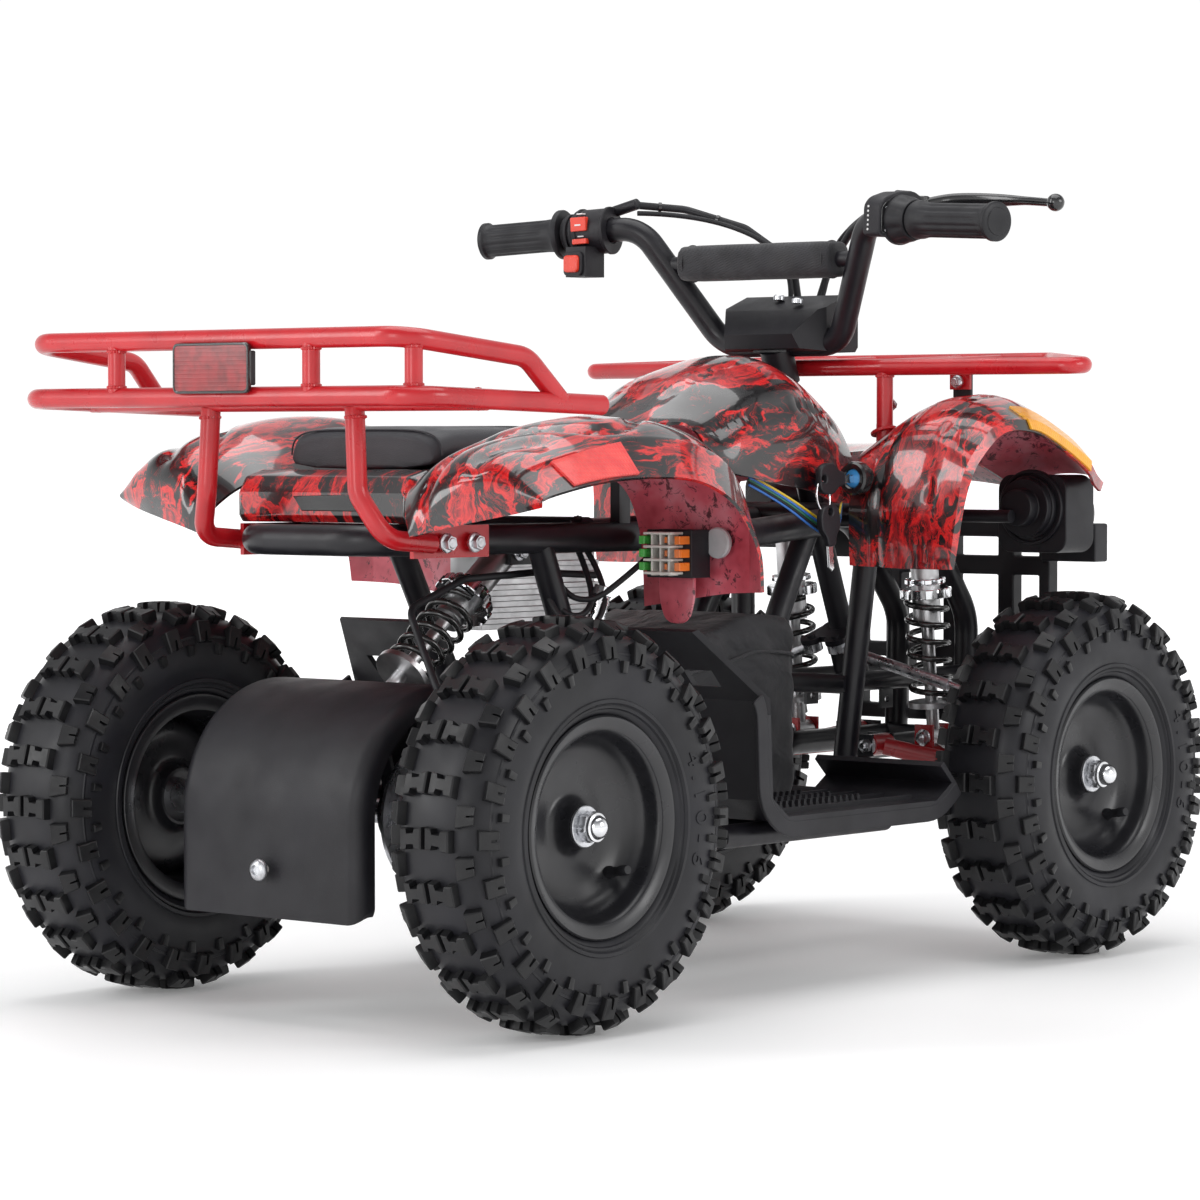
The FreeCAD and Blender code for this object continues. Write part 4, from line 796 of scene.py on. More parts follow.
def rim_piece(name, centre, outward, body, bore):
    rim = Shape()
    face = smooth_line(RIM_FACE, 3)
    back = smooth_line(RIM_BACK, 2)
    outline = [tuple(p) for p in face] + [(HUB_HALF, bore), (-HUB_HALF, bore)] + [tuple(p) for p in back]
    rim.spin(centre, (0, outward, 0), outline, 128)
    piece = rim.made(name, body, [rim_black], 28, slot="rim_black")
    valve = Shape()
    angle = math.radians(-42 if outward < 0 else 222)
    foot = Vector(centre) + Vector((math.cos(angle) * 60, 9.0 * outward, math.sin(angle) * 60))
    lean = Vector((-math.cos(angle) * 0.25, outward, -math.sin(angle) * 0.25)).normalized()
    stem = [(0, 0), (0, 5.4), (4, 5.2), (7, 3.9), (15, 3.6), (16, 4.2), (24, 4.2), (25.5, 3.4), (25.5, 0)]
    valve.spin(foot - lean * 2, lean, stem, 24, closed=False)
    valve.made(name + "_valve", body, [soft_rubber], 35, slot="rubber_black")
    return piece


def nut_piece(name, centre, outward, tip, body):
    """Washer, hexagon nut and cap nut on the axle's end; tip is how far the dome reaches."""
    nut = Shape()
    axis = Vector((0, outward, 0))
    start = Vector(centre) + axis * RIM_FACE_OUT
    nut.spin(start, axis, [(0, 8), (0, 16.2), (0.6, 16.6), (2.6, 16.6), (3.2, 16), (3.2, 8)], 40, 0)
    corners = [math.radians(60 * k + 15) for k in range(6)]
    loops = []
    for along, radius in ((3.2, NUT_CHAMFER), (4.4, NUT_RADIUS), (10.4, NUT_RADIUS), (11.6, NUT_CHAMFER)):
        loops.append([start + axis * along + Vector((math.cos(a), 0, math.sin(a))) * radius for a in corners])
    nut.grid(loops, 0, ring=True)
    nut.cap(loops[0]).cap(loops[3])
    reach = tip - RIM_FACE_OUT
    dome = [(11.4, 0), (11.4, 10.8), (12.4, 11.4), (14.6, 11.4), (15.2, 9.6), (reach - 8, 9.5)]
    dome += [(reach - 4.5, 8.6), (reach - 1.8, 6.2), (reach - 0.3, 3.0), (reach, 0)]
    nut.spin(start, axis, dome, 40, 1, closed=False)
    return nut.made(name, body, [zinc, chrome], 30, slot="chrome")


for end, x, track, left_body, right_body in WHEELS:
    for side, out in SIDES:
        body = left_body if side == "left" else right_body
        centre = (x, track * out, AXLE_HEIGHT)
        piece = rim_piece(f"{end}_rim_pressed_{side}", centre, out, body, BORE[end])
        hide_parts(f"{end}_rim_{side}")
        carrier = "rear_axle_set" if end == "rear" else f"knuckle_{side}"
        nut_piece(f"{end}_axle_nut_{side}", centre, out, AXLE_TIP[end], carrier)
print("rims and axle nuts", 8)

# %% [markdown]
# ## Moulded bodywork
# A fender is one vacuum-formed sheet. It starts as a few rows of points in the drawing's
# millimetres. `dense` runs soft curves through them both ways and keeps the columns named as
# folds sharp, `relief` pushes grooves and lobes in along the surface, and `shell` sets the
# same grid back by the wall's thickness and closes the rim, so the inside shows its own
# unpainted colour.

# %% Sheet helpers
TILE_SINK = 0.6


def dense(rows, along, across, folds=()):
    """More points both ways, with the columns named in folds kept sharp."""
    wide = []
    for row in rows:
        line = []
        marks = [0, *folds, len(row) - 1]
        for first, last in zip(marks, marks[1:]):
            part = smooth_line(row[first:last + 1], across)
            line += part[1:] if line else part
        wide.append(line)
    columns = [smooth_line([row[c] for row in wide], along) for c in range(len(wide[0]))]
    return [[column[k] for column in columns] for k in range(len(columns[0]))]


def normals(grid, flip):
    last_row, last_column = len(grid) - 1, len(grid[0]) - 1
    result = []
    for r in range(last_row + 1):
        line = []
        for c in range(last_column + 1):
            down = grid[min(r + 1, last_row)][c] - grid[max(r - 1, 0)][c]
            over = grid[r][min(c + 1, last_column)] - grid[r][max(c - 1, 0)]
            line.append(down.cross(over).normalized() * flip)
        result.append(line)
    return result


def relief(grid, lift, flip):
    """Moves each point along the surface's outward direction by lift(point) millimetres."""
    out = normals(grid, flip)
    return [[p + n * lift(p) for p, n in zip(row, line)] for row, line in zip(grid, out)]


def shell(shape, grid, thick, flip, finish=0, inner=1):
    """A closed wall: the grid, its copy set back by the thickness, and the four rims."""
    out = normals(grid, flip)
    back = [[p - n * thick for p, n in zip(row, line)] for row, line in zip(grid, out)]
    shape.grid(grid, finish)
    shape.grid(back, inner)
    for end in (0, -1):
        shape.grid([grid[end], back[end]], finish)
    for end in (0, -1):
        shape.grid([[row[end] for row in grid], [row[end] for row in back]], finish)
    return shape


def tile(shape, grid, rows, columns, lift, flip, finish=0):
    """A raised plate that follows part of a sheet; rows and columns are index ranges."""
    part = [row[columns[0]:columns[1] + 1] for row in grid[rows[0]:rows[1] + 1]]
    out = normals(part, flip)
    top = [[p + n * lift for p, n in zip(row, line)] for row, line in zip(part, out)]
    return shell(shape, top, lift + TILE_SINK, flip, finish, finish)


def groove(points, width, depth):
    """A lift that sinks a rounded channel along a line of (x, |y|) points."""
    line = [Vector(p) for p in smooth_line(points, 6)]

    def lift(p):
        spot = Vector((p.x, abs(p.y)))
        near = min((spot - q).length for q in line)
        return -depth * math.exp(-(near / width) ** 2)
    return lift


print("sheet helpers ready")

# %% [markdown]
# The rear fender is two wings over the wheels, a flat deck that carries the seat and a tail
# block between them. On each wing a channel sweeps from the tail across the top in an S, and
# a fold runs along the outer shoulder. The side face below the fold carries a red reflector.

# %% Rear fender
REAR_WING = [
    [(-414, 118, 390), (-409, 145, 396), (-402, 180, 403), (-393, 211, 409), (-386, 232, 414)],
    [(-408, 108, 410), (-409, 140, 426), (-405, 180, 434), (-398, 214, 428), (-390, 236, 420)],
    [(-380, 92, 432), (-384, 132, 453), (-384, 182, 460), (-382, 215, 444), (-374, 238, 425)],
    [(-320, 88, 440), (-322, 130, 469), (-323, 185, 475), (-324, 217, 458), (-320, 240, 434)],
    [(-260, 88, 441), (-260, 130, 477), (-260, 185, 483), (-260, 218, 468), (-260, 240, 437)],
    [(-200, 88, 441), (-200, 130, 477), (-200, 185, 482), (-200, 218, 466), (-204, 240, 434)],
    [(-150, 88, 441), (-148, 130, 467), (-146, 185, 469), (-148, 217, 453), (-158, 238, 419)],
    [(-116, 92, 425), (-114, 130, 439), (-114, 185, 443), (-118, 216, 428), (-132, 237, 397)],
    [(-100, 96, 385), (-99, 130, 398), (-98, 185, 402), (-102, 215, 392), (-114, 235, 372)],
    [(-97, 98, 326), (-95, 130, 331), (-94, 180, 338), (-100, 214, 340), (-108, 233, 341)],
]
sweep = groove([(-406, 128), (-376, 140), (-340, 168), (-300, 196), (-262, 203), (-225, 190), (-190, 160),
                (-150, 142)], 5.5, 7.0)
hollow = groove([(-392, 176), (-372, 186), (-350, 196)], 8.0, 6.0)
shoulder = groove([(-330, 148), (-290, 160), (-250, 156), (-215, 138)], 16.0, -3.0)


def wing_lift(p):
    """The channels and the lobe, faded out towards the wing's lower rim."""
    fade = min(1.0, max(0.0, (p.z - 392) / 30))
    return (sweep(p) + hollow(p) + shoulder(p)) * fade


def sided(rows, out):
    return [[(x, y * out, z) for x, y, z in row] for row in rows]


rear_body = Shape()
reflectors = Shape()
for side, out in SIDES:
    wing = dense(sided(REAR_WING, out), 7, 9, (3,))
    wing = relief(wing, wing_lift, out)
    shell(rear_body, wing, SKIN, out)
    tile(reflectors, wing, (17, 26), (28, 35), 2.2, out)
rear_body.block((-352, -90, 437.5), (-146, 90, 441))
rear_body.block((-148, -82, 437.5), (-22, 82, 441))
rear_fender = rear_body.made("rear_fender_moulding", "chassis", [flame_red, inner_red], 30, 0.7, "flame_red")
reflectors.made("fender_reflectors", "chassis", [reflect_red], 30, 0.4, "reflector_red")
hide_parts("rear_fender")
print("rear fender", len(rear_fender.data.polygons), "faces")

# %% [markdown]
# Between the wings hangs the tail block, a moulded box with a dip along its back and a dark
# panel in it. It is one outline carried across the vehicle and drawn in at both ends.

# %% Tail block
tail = Shape()
TAIL = [(-388, 399.5), (-392, 405), (-392, 424), (-384, 437), (-366, 442), (-346, 442), (-346, 399.5)]
sections = []
for y, shrink in ((-97.5, 5), (-92, 0), (-58, 0), (58, 0), (92, 0), (97.5, 5)):
    dip = 4.0 if abs(y) < 60 else 0.0
    section = []
    for x, z in TAIL:
        back = x + shrink + (dip if x < -380 else 0)
        section.append((back, y, z - (shrink * 0.6 if z > 420 else 0)))
    sections.append(section)
tail.grid(sections, 0, ring=True)
tail.cap(sections[0]).cap(sections[-1])
tail.made("tail_block", "chassis", [flame_dark], 30, 1.6, "flame_red")
PANEL = ((-56, 409), (24, 409), (34, 421), (-50, 423))
panel = Shape()
panel.prism(*[[(x, y, z) for y, z in PANEL] for x in (-389.2, -386.0)])
panel.made("tail_panel", "chassis", [glossy_black], 30, 0.8, "plastic_black")
print("tail block", len(sections), "sections")

# %% [markdown]
# The front fender covers both front wheels with one piece: two wings and a hood. Each wing
# drops to a wall behind the wheel, where two upright creases leave a raised band. A lip turns
# down all along the arch.

# %% Front fender
FRONT_WING = [
    [(186, 100, 354), (188, 130, 353), (190, 165, 352), (194, 203, 352), (198, 206, 352)],
    [(185, 100, 380), (187, 130, 381), (190, 165, 382), (195, 207, 381), (200, 210, 380)],
    [(185, 100, 405), (188, 130, 410), (192, 168, 412), (198, 210, 410), (203, 213, 406)],
    [(190, 99, 430), (196, 130, 440), (200, 170, 442), (201, 213, 434), (207, 217, 428)],
    [(204, 97, 452), (212, 130, 470), (216, 173, 473), (214, 216, 456), (219, 220, 449)],
    [(245, 88, 462), (250, 130, 491), (252, 178, 496), (247, 219, 481), (250, 223, 472)],
    [(290, 88, 462), (292, 130, 497), (292, 178, 503), (288, 221, 484), (290, 224, 474)],
    [(330, 88, 460), (332, 130, 495), (331, 178, 501), (325, 221, 475), (326, 223, 465)],
    [(390, 88, 449), (396, 130, 473), (396, 176, 478), (386, 220, 449), (384, 221, 439)],
    [(430, 88, 436), (438, 130, 453), (434, 175, 455), (408, 217, 434), (404, 217, 425)],
    [(456, 88, 425), (464, 130, 436), (456, 174, 436), (424, 213, 427), (418, 214, 419)],
]
HOOD = [[(x, y, z + lift) for y, lift in ((-90, 0), (-45, side), (0, middle), (45, side), (90, 0))]
        for x, z, side, middle in ((276, 462, -6, -8), (330, 461, 2, 2), (390, 449, 6, 7), (456, 425, 5, 6))]
band_low = groove([(180, 128), (215, 131), (260, 140)], 3.4, 3.0)
band_high = groove([(180, 178), (215, 180), (260, 176), (330, 160)], 3.4, 3.0)
crown = groove([(262, 152), (330, 150), (400, 146)], 20.0, -3.5)
front_body = Shape()
amber = Shape()
for side, out in SIDES:
    wing = dense(sided(FRONT_WING, out), 6, 9, (3,))
    wing = relief(wing, lambda p: band_low(p) + band_high(p) + crown(p), out)
    shell(front_body, wing, SKIN, out)
    tile(amber, wing, (36, 49), (22, 34), 2.0, out)
shell(front_body, dense(HOOD, 6, 6), SKIN, 1)
front_fender = front_body.made("front_fender_moulding", "chassis", [flame_bright, inner_red], 30, 0.7,
                               "flame_red")
amber.made("amber_reflectors", "chassis", [reflect_amber], 30, 0.4)
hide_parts("front_fender")
print("front fender", len(front_fender.data.polygons), "faces")

# %% [markdown]
# The tank cover is a dummy fuel tank. Its saddle is dark and glossy, and a fold on each side
# parts it from the flanks, which sweep in to the knees.

# %% Tank cover
TANK_HALF = [
    [(-42, 0, 481.8), (-38, 30, 481.6), (-24, 52, 481.3), (-2, 72, 479), (3, 88, 447)],
    [(12, 0, 506), (13, 36, 502), (16, 62, 489), (20, 84, 465), (25, 94, 438)],
    [(40, 0, 520), (40, 38, 516), (42, 70, 497), (44, 91, 467), (46, 97, 434)],
    [(70, 0, 530), (70, 40, 525), (70, 74, 505), (70, 94, 470), (70, 99, 430)],
    [(125, 0, 542), (125, 38, 537), (125, 73, 515), (125, 96, 475), (125, 101, 422)],
    [(155, 0, 537), (155, 37, 532), (155, 71, 510), (155, 94, 470), (155, 98, 415)],
    [(178, 0, 527), (178, 36, 522), (178, 69, 500), (178, 90, 462), (178, 93, 410)],
    [(199, 0, 512), (200, 34, 507), (206, 64, 487), (215, 80, 452), (222, 84, 410)],
]
tank_rows = [[(x, -y, z) for x, y, z in reversed(row[1:])] + row for row in TANK_HALF]
flank = groove([(-10, 70), (30, 79), (80, 84), (130, 86), (190, 76)], 4.0, 3.2)
spine = groove([(10, 30), (60, 34), (120, 34), (190, 30)], 3.0, 2.2)
tank_sheet = relief(dense(tank_rows, 8, 8), lambda p: flank(p) + spine(p), 1)
tank_body = Shape()
shell(tank_body, tank_sheet, SKIN, 1)
tank_cover = tank_body.made("tank_cover_moulding", "chassis", [flame_dark, inner_red], 30, 0.7, "flame_red")
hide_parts("tank_cover")
print("tank cover", len(tank_cover.data.polygons), "faces")

# %% [markdown]
# ## Seat, bar pad and battery bag
# The seat is foam under vinyl: a flat top that rolls over soft edges, with a sewn seam where
# the side panel meets the top and a lower nose that runs in under the tank cover. Each
# cross-section is a squared-off arch, and the foam swells a little between the seams.

# %% Seat
def arch(x, half, low, top, roll, count=28):
    """A cross-section over the seat from one lower edge to the other, rounded by roll."""
    points = []
    for k in range(count + 1):
        angle = math.pi * k / count
        c, s = math.cos(angle), math.sin(angle)
        power = 2 / roll
        y = half * math.copysign(abs(c) ** power, c)
        z = low + (top - low) * abs(s) ** power
        points.append(Vector((x, y, z)))
    return points


SEAT = [(-345.5, 70, 444, 458, 3.5), (-343, 79, 442, 470, 4), (-336, 83, 441.6, 475.5, 5),
        (-322, 84, 441.5, 477.4, 6), (-290, 84, 441.5, 478, 6.5), (-240, 84, 441.5, 477.6, 6.5),
        (-200, 84, 441.5, 476.6, 6.5), (-170, 84, 441.5, 475.5, 6.5), (-130, 83, 441.5, 475, 6),
        (-90, 82, 441.5, 476, 6), (-50, 80, 441.5, 477, 6), (-24, 77, 441.5, 475, 5), (-10, 72, 442, 466, 4),
        (-5, 64, 444, 454, 3.5)]
SEAT_SPLIT, SEAM_OUT = -205, 66
seat_shape = Shape()
rows = []
for a, b in zip(SEAT, SEAT[1:]):
    for t in (0, 0.25, 0.5, 0.75):
        rows.append(arch(*[u + (v - u) * t for u, v in zip(a, b)]))
rows.append(arch(*SEAT[-1]))
for row in rows:
    for p in row:
        top = max(0.0, (p.z - 455) / 23)
        p.z -= 1.6 * top * math.exp(-((abs(p.y) - SEAM_OUT) / 2.2) ** 2)
        p.z -= 1.5 * top * math.exp(-((p.x - SEAT_SPLIT) / 2.4) ** 2)
seat_shape.grid(rows)
seat_shape.cap(rows[0]).cap(rows[-1])
seat_shape.grid([[row[0] for row in rows], [row[-1] for row in rows]])
seat = seat_shape.made("seat_cushion", "chassis", [vinyl], 50, 0, "seat_vinyl")
smooth = seat.modifiers.new("Smooth", "SUBSURF")
smooth.levels = smooth.render_levels = 1
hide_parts("seat")
for k, (x, top, roll) in enumerate(((-338.0, 474.6, 5), (SEAT_SPLIT, 477.2, 6.5))):
    section = arch(x, 84.3, 442, top, roll, 40)
    wire(f"seat_seam_{k}", [p + Vector((0, 0, 0.2)) for p in section[1:-1]], 0.8, "chassis", vinyl, steps=2)
print("seat", len(seat.data.polygons), "faces")

# %% [markdown]
# The bar pad is foam in a woven sleeve with folded ends, closed underneath. A squared-off
# circle is carried along the bar and drawn in at the ends, with a sewn hem near each.

# %% Bar pad
PAD_X, PAD_Z = 186, 628
PAD_RADIUS, SQUARENESS = 16.2, 3.4
pad = Shape()
turns = 28
rows = []
for y, grow in ((-88, -5.5), (-87.4, -2.0), (-85, -0.3), (-70, 0.2), (-30, 0.3), (0, 0.1), (30, 0.3),
                (70, 0.2), (85, -0.3), (87.4, -2.0), (88, -5.5)):
    row = []
    for k in range(turns):
        angle = 2 * math.pi * k / turns
        c, s = math.cos(angle), math.sin(angle)
        reach = (PAD_RADIUS + grow) / (abs(c) ** SQUARENESS + abs(s) ** SQUARENESS) ** (1 / SQUARENESS)
        row.append((PAD_X + reach * c, y, PAD_Z + reach * s))
    rows.append(row)
pad.grid(rows, ring=True)
pad.cap(rows[0]).cap(rows[-1])
bar_pad = pad.made("bar_pad_sleeve", "steering", [webbing], 50, 0, "pad_fabric")
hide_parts("bar_pad")
for y in (-80.0, 80.0):
    angles = [math.pi * k / 9 for k in range(19)]
    ring = [(PAD_X + 16.9 * math.cos(a), y, PAD_Z + 16.9 * math.sin(a)) for a in angles]
    wire(f"pad_hem_{'left' if y > 0 else 'right'}", ring, 0.7, "steering", webbing, steps=3)
print("bar pad", len(bar_pad.data.polygons), "faces")

# %% [markdown]
# The battery bag is nylon cloth that the batteries push out unevenly. It creases between them,
# tucks in under its lid, and a zip runs round it. A cloth simulation could drape it, but a
# sum of a few slanted folds gives the same creases and stays the same on every run.

# %% Battery bag
bag = Shape()
BAG_TOP = [(-84, 290), (-30, 293), (20, 300), (70, 314), (110, 311), (134, 306)]
BAG_BASE, BAG_MIDDLE, ZIP_LEVEL = 151, 25, 0.8
FLAT_X, FLAT_Y = 93, 70


def bag_top(x):
    for (a, low), (b, high) in zip(BAG_TOP, BAG_TOP[1:]):
        if x <= b:
            return low + (high - low) * max(0.0, (x - a) / (b - a))
    return BAG_TOP[-1][1]


plan = rounded([(-84, -86), (134, -86), (134, 86), (-84, 86)], 16, 6)
ring = []
for (x, y), (nx, ny) in zip(plan, plan[1:] + plan[:1]):
    steps = max(1, int(math.hypot(nx - x, ny - y) / 5))
    ring += [(x + (nx - x) * k / steps, y + (ny - y) * k / steps) for k in range(steps)]
random.seed(7)
WAVE_RANGES = ((0.03, 0.09), (0.02, 0.08), (0, 6.3), (0.7, 1.7))
waves = [tuple(random.uniform(low, high) for low, high in WAVE_RANGES) for _ in range(9)]
levels = [0, 0.02, 0.06] + [0.09 + 0.0265 * k for k in range(32)] + [0.94, 0.96, 0.985, 1.0]
rows = []
for level in levels:
    row = []
    for x, y in ring:
        top = bag_top(x)
        z = BAG_BASE + (top - BAG_BASE) * level
        ahead = x - BAG_MIDDLE
        over_x, over_y = max(0, abs(ahead) - FLAT_X), max(0, abs(y) - FLAT_Y)
        out = Vector((math.copysign(over_x, ahead), math.copysign(over_y, y), 0))
        out = out.normalized() if out.length else Vector((0, 1, 0))
        along = x if abs(y) > 80 else y
        dent = sum(h * (0.55 - abs(math.sin(a * along + b * z + c))) for a, b, c, h in waves)
        tuck = -7.0 * max(0.0, (level - 0.9) / 0.1) ** 2 - 3.0 * max(0.0, (0.08 - level) / 0.08) ** 2
        seam = -1.6 * math.exp(-((level - ZIP_LEVEL) / 0.025) ** 2)
        push = -1.6 + dent * min(1.0, level * 6, (1 - level) * 8) + tuck + seam
        row.append(Vector((x, y, z)) + out * min(push, 0.8))
    rows.append(row)
rim = rows[-1]
for share in (0.75, 0.5, 0.25):
    lid = []
    for p in rim:
        x = BAG_MIDDLE + (p.x - BAG_MIDDLE) * share
        lid.append(Vector((x, p.y * share, bag_top(x) + 1.2 * math.sin(p.x * 0.06) * (1 - share))))
    rows.append(lid)
bag.grid(rows, ring=True)
bag.cap(rows[-1]).cap(rows[0])
battery_bag = bag.made("battery_bag_cloth", "chassis", [nylon], 60, 0, "bag_fabric")
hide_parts("battery_bag")
zip_line = []
for x, y in ring[::3] + ring[:1]:
    if abs(y) > 80:
        out = Vector((0, math.copysign(1, y), 0))
    else:
        out = Vector((math.copysign(1, x - BAG_MIDDLE), 0, 0))
    zip_line.append(Vector((x, y, BAG_BASE + (bag_top(x) - BAG_BASE) * ZIP_LEVEL)) - out * 1.5)
wire("battery_bag_zip", zip_line, 1.5, "chassis", webbing, steps=4)
print("battery bag", len(battery_bag.data.polygons), "faces")

# %% [markdown]
# ## Moulded and pressed parts kept in their own form
# Many smaller parts are right as packed but for their knife-sharp edges. `softened` copies
# such a solid's faces, merges the flat ones, and rounds every real edge.

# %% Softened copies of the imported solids
def softened(node, name, finish, width):
    """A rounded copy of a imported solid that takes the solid's place."""
    solid = nodes[node]
    work = bmesh.new()
    work.from_mesh(solid.data)
    work.transform(solid.matrix_world)
    bmesh.ops.remove_doubles(work, verts=work.verts, dist=1e-5)
    bmesh.ops.dissolve_limit(work, angle_limit=math.radians(1.0), verts=work.verts, edges=work.edges)
    mesh = bpy.data.meshes.new(name)
    points = [v.co.copy() for v in work.verts]
    work.verts.index_update()
    mesh.from_pydata(points, [], [[v.index for v in f.verts] for f in work.faces])
    work.free()
    piece = placed(name, mesh, BODY_OF[node], [finish], 30, width)
    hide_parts(node)


BODIES = frame["record"]["behaviour"]["bodies"]
BODY_OF = {node: body for body, members in BODIES.items() for node in members}
SOFT = [
    ("front_bumper", moulded_black, 3.0, "plastic_black"),
    ("footrest_left", moulded_black, 0.9, "plastic_black"),
    ("footrest_right", moulded_black, 0.9, "plastic_black"),
    ("axle_guard", moulded_black, 0.5, "frame_black"),
    ("clamp_cover", moulded_black, 1.6, "plastic_black"),
    ("headlights", moulded_black, 1.4, "plastic_black"),
    ("controller", alloy, 0.5, "cast_alloy"),
    ("brake_caliper", alloy, 1.2, "zinc"),
    ("switch_cluster", moulded_black, 1.4, "plastic_black"),
    ("swingarm", frame_black, 0.5, "frame_black"),
    ("front_arm_left", arm_red, 0.5, "arm_red"),
    ("front_arm_right", arm_red, 0.5, "arm_red"),
    ("headlight_lenses", lens, 0.4, "lens_clear"),
]
for node, finish, width, slot in SOFT:
    softened(node, node + "_soft", finish, width)
print("softened solids", len(SOFT))

# %% [markdown]
# ## Handlebar controls
# Both grips are rubber sleeves with lengthwise flutes. The left one ends in a flange beside
# the switch housing. Each is one outline turned about the bar, and the flutes are a wave that
# the turning adds to the radius, which is quicker than cutting them one by one.

# %% Grips
BAR_END, BAR_BEND = Vector((138, 294, 653)), Vector((171, 131, 662))


def on_bar(distance, out):
    """A point on the bar's straight end, so far in from its tip."""
    point = BAR_END + (BAR_BEND - BAR_END).normalized() * distance
    return Vector((point.x, point.y * out, point.z))


def bar_frame(distance, out):
    """Origin on the bar's straight end, with unit vectors inward along it, forward and up."""
    origin = on_bar(distance, out)
    inward = (on_bar(distance + 10, out) - origin).normalized()
    up = Vector((0, 0, 1)) - inward * inward.z
    up.normalize()
    return origin, inward, up.cross(inward) * out, up


def grip_piece(name, out, length, flange, node):
    """A fluted sleeve from the bar's tip inward, with a flange or a plain rolled end."""
    grip = Shape()
    outline = [(0, 0), (0, 11.5), (0.8, 12.2), (0.8, 15.4), (2.0, 17.2), (5.6, 17.2), (6.8, 16.0), (8, 15.2)]
    steps = 14
    outline += [(8 + (length - 22) * k / steps, 15.2) for k in range(1, steps)]
    outline += [(length - 12, 15.6), (length - 8, 16.6)]
    if flange:
        outline += [(length - 6, 19), (length - 4.6, 23), (length - 1.2, 23), (length, 22), (length, 12)]
    else:
        outline += [(length - 2, 17), (length - 0.4, 16.4), (length, 15.6), (length, 12)]

    def flutes(angle, along):
        share = min(1.0, max(0.0, (along - 9) / 6)) * min(1.0, max(0.0, (length - 17 - along) / 6))
        return -1.1 * share * (0.5 + 0.5 * math.cos(angle * 14)) ** 2
    origin, inward, forward, up = bar_frame(0, out)
    grip.spin(origin, inward, outline, 112, 0, False, flutes)
    piece = grip.made(name, "steering", [soft_rubber], 40, 0, "rubber_black")
    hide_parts(node)


grip_piece("grip_sleeve_left", 1, 88, True, "grip_left")
grip_piece("grip_sleeve_right", -1, 102, False, "grip_right")
print("grips done")

# %% [markdown]
# The switch housing carries a red rocker, a slider and a push button in a square ring, with
# white marks beside them. The bar slopes, so their blocks are set out in its own directions
# and not in the vehicle's. Thin collars close the housings against the grips.

# %% Switches and collars
SWITCH_PLACE = 114
FROM_BEHIND = ((0, -1, 0), (0, 0, 1))


def bar_block(shape, low, high):
    """A block on the switches; corners are (inward, forward, up) from the bar's middle line."""
    origin, inward, forward, up = bar_frame(SWITCH_PLACE, 1)
    points = [origin + inward * a + forward * b + up * c
              for a in (low[0], high[0]) for b in (low[1], high[1]) for c in (low[2], high[2])]
    return shape.add(points, BOX_FACES)


def oblong(half_wide, half_high, radius):
    """A rectangle's outline about the origin, with round corners."""
    corners = [(x * half_wide, y * half_high) for x, y in ((-1, -1), (1, -1), (1, 1), (-1, 1))]
    return rounded(corners, radius)


switches = Shape()
bar_block(switches, (-8, -24.0, 0), (8, -17, 13))
bar_block(switches, (-7, -24.0, -12), (8, -18, -7))
switches.made("switch_rockers", "steering", [switch_red], 30, 0.9)
marks = Shape()
for low, high in (((-2, -21.6, 15.5), (4, -15, 16.7)), ((-2, -21.4, -5.2), (4, -20.4, -4.2)),
                  ((-3, -24.6, 5), (3, -24.0, 6.4))):
    bar_block(marks, low, high)
marks.made("switch_marks", "steering", [print_white], 30, 0)
for name, outline, x, thick, finish, edge in (
        ("push_button", oblong(8.5, 8, 4), 131.6, 7.0, switch_red, 1.6),
        ("button_ring", oblong(11, 11, 5), 133.4, 4.0, moulded_black, 1.0)):
    pressed(name, [outline], (x, 180, 629), *FROM_BEHIND, thick, "steering", [finish], edge)
collar = Shape()
for place, out, radius in ((94, 1, 18.2), (99, 1, 17.6), (106, 1, 22.2), (134, 1, 22.2), (123, -1, 22.6)):
    origin, inward, forward, up = bar_frame(place, out)
    outline = [(0, 12.5), (0, radius - 0.6), (0.6, radius), (2.6, radius), (3.2, radius - 0.6), (3.2, 12.5)]
    collar.spin(origin, inward, outline, 48)
collar.rod((176, 176, 676), (178, 139, 685), 5.2, 24, 0, 1.2)
collar.rod((206, -152, 682), (212, -132, 684), 5.2, 24, 0, 1.2)
collar.made("control_collars", "steering", [moulded_black], 35, 0, "plastic_black")
print("switches done")

# %% [markdown]
# The twist throttle is a rubber drum with finger dips that turns beside a rounded box. A row
# of white dots on the box shows the charge. The box is a flat outline pressed to a thickness
# with rounded edges, because its two faces are flat on the real object too.

# %% Throttle box and twist drum
origin, inward, forward, up = bar_frame(134, -1)
BOX_OUTLINE = [(-26, -14), (-26, 12), (-20, 19), (-4, 24), (16, 25), (25, 20), (26, 4), (20, -10), (6, -16),
               (-20, -16)]
PLATE_OUTLINE = [(-23.5, -12), (-23.5, 10), (-18.5, 15.5), (-12, 17), (-12, -13.5)]
box = pressed("throttle_box", [rounded(BOX_OUTLINE, 4)], origin, forward, up, 21.0, "steering",
              [moulded_black], 1.6, "plastic_black")
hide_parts("throttle_housing")
pressed("throttle_plate", [rounded(PLATE_OUTLINE, 2.5)], origin - inward * 10.6, forward, up, 1.6, "steering",
        [glossy_black], 0.4)
dots = Shape()
for row in range(6):
    spot = origin - forward * 26.4 + up * (-9.5 + row * 4.0) + inward * 3.5
    dots.rod(spot + forward * 0.8, spot - forward * 0.3, 1.0, 16, 0, 0.2)
dots.made("charge_display", "steering", [print_white], 30, 0)
screws = Shape()
SCREW_HEAD = [(-2, 0), (-2, 1.8), (0, 1.9), (0.7, 1.3), (0.7, 0.6), (0.1, 0.5), (0.1, 0)]
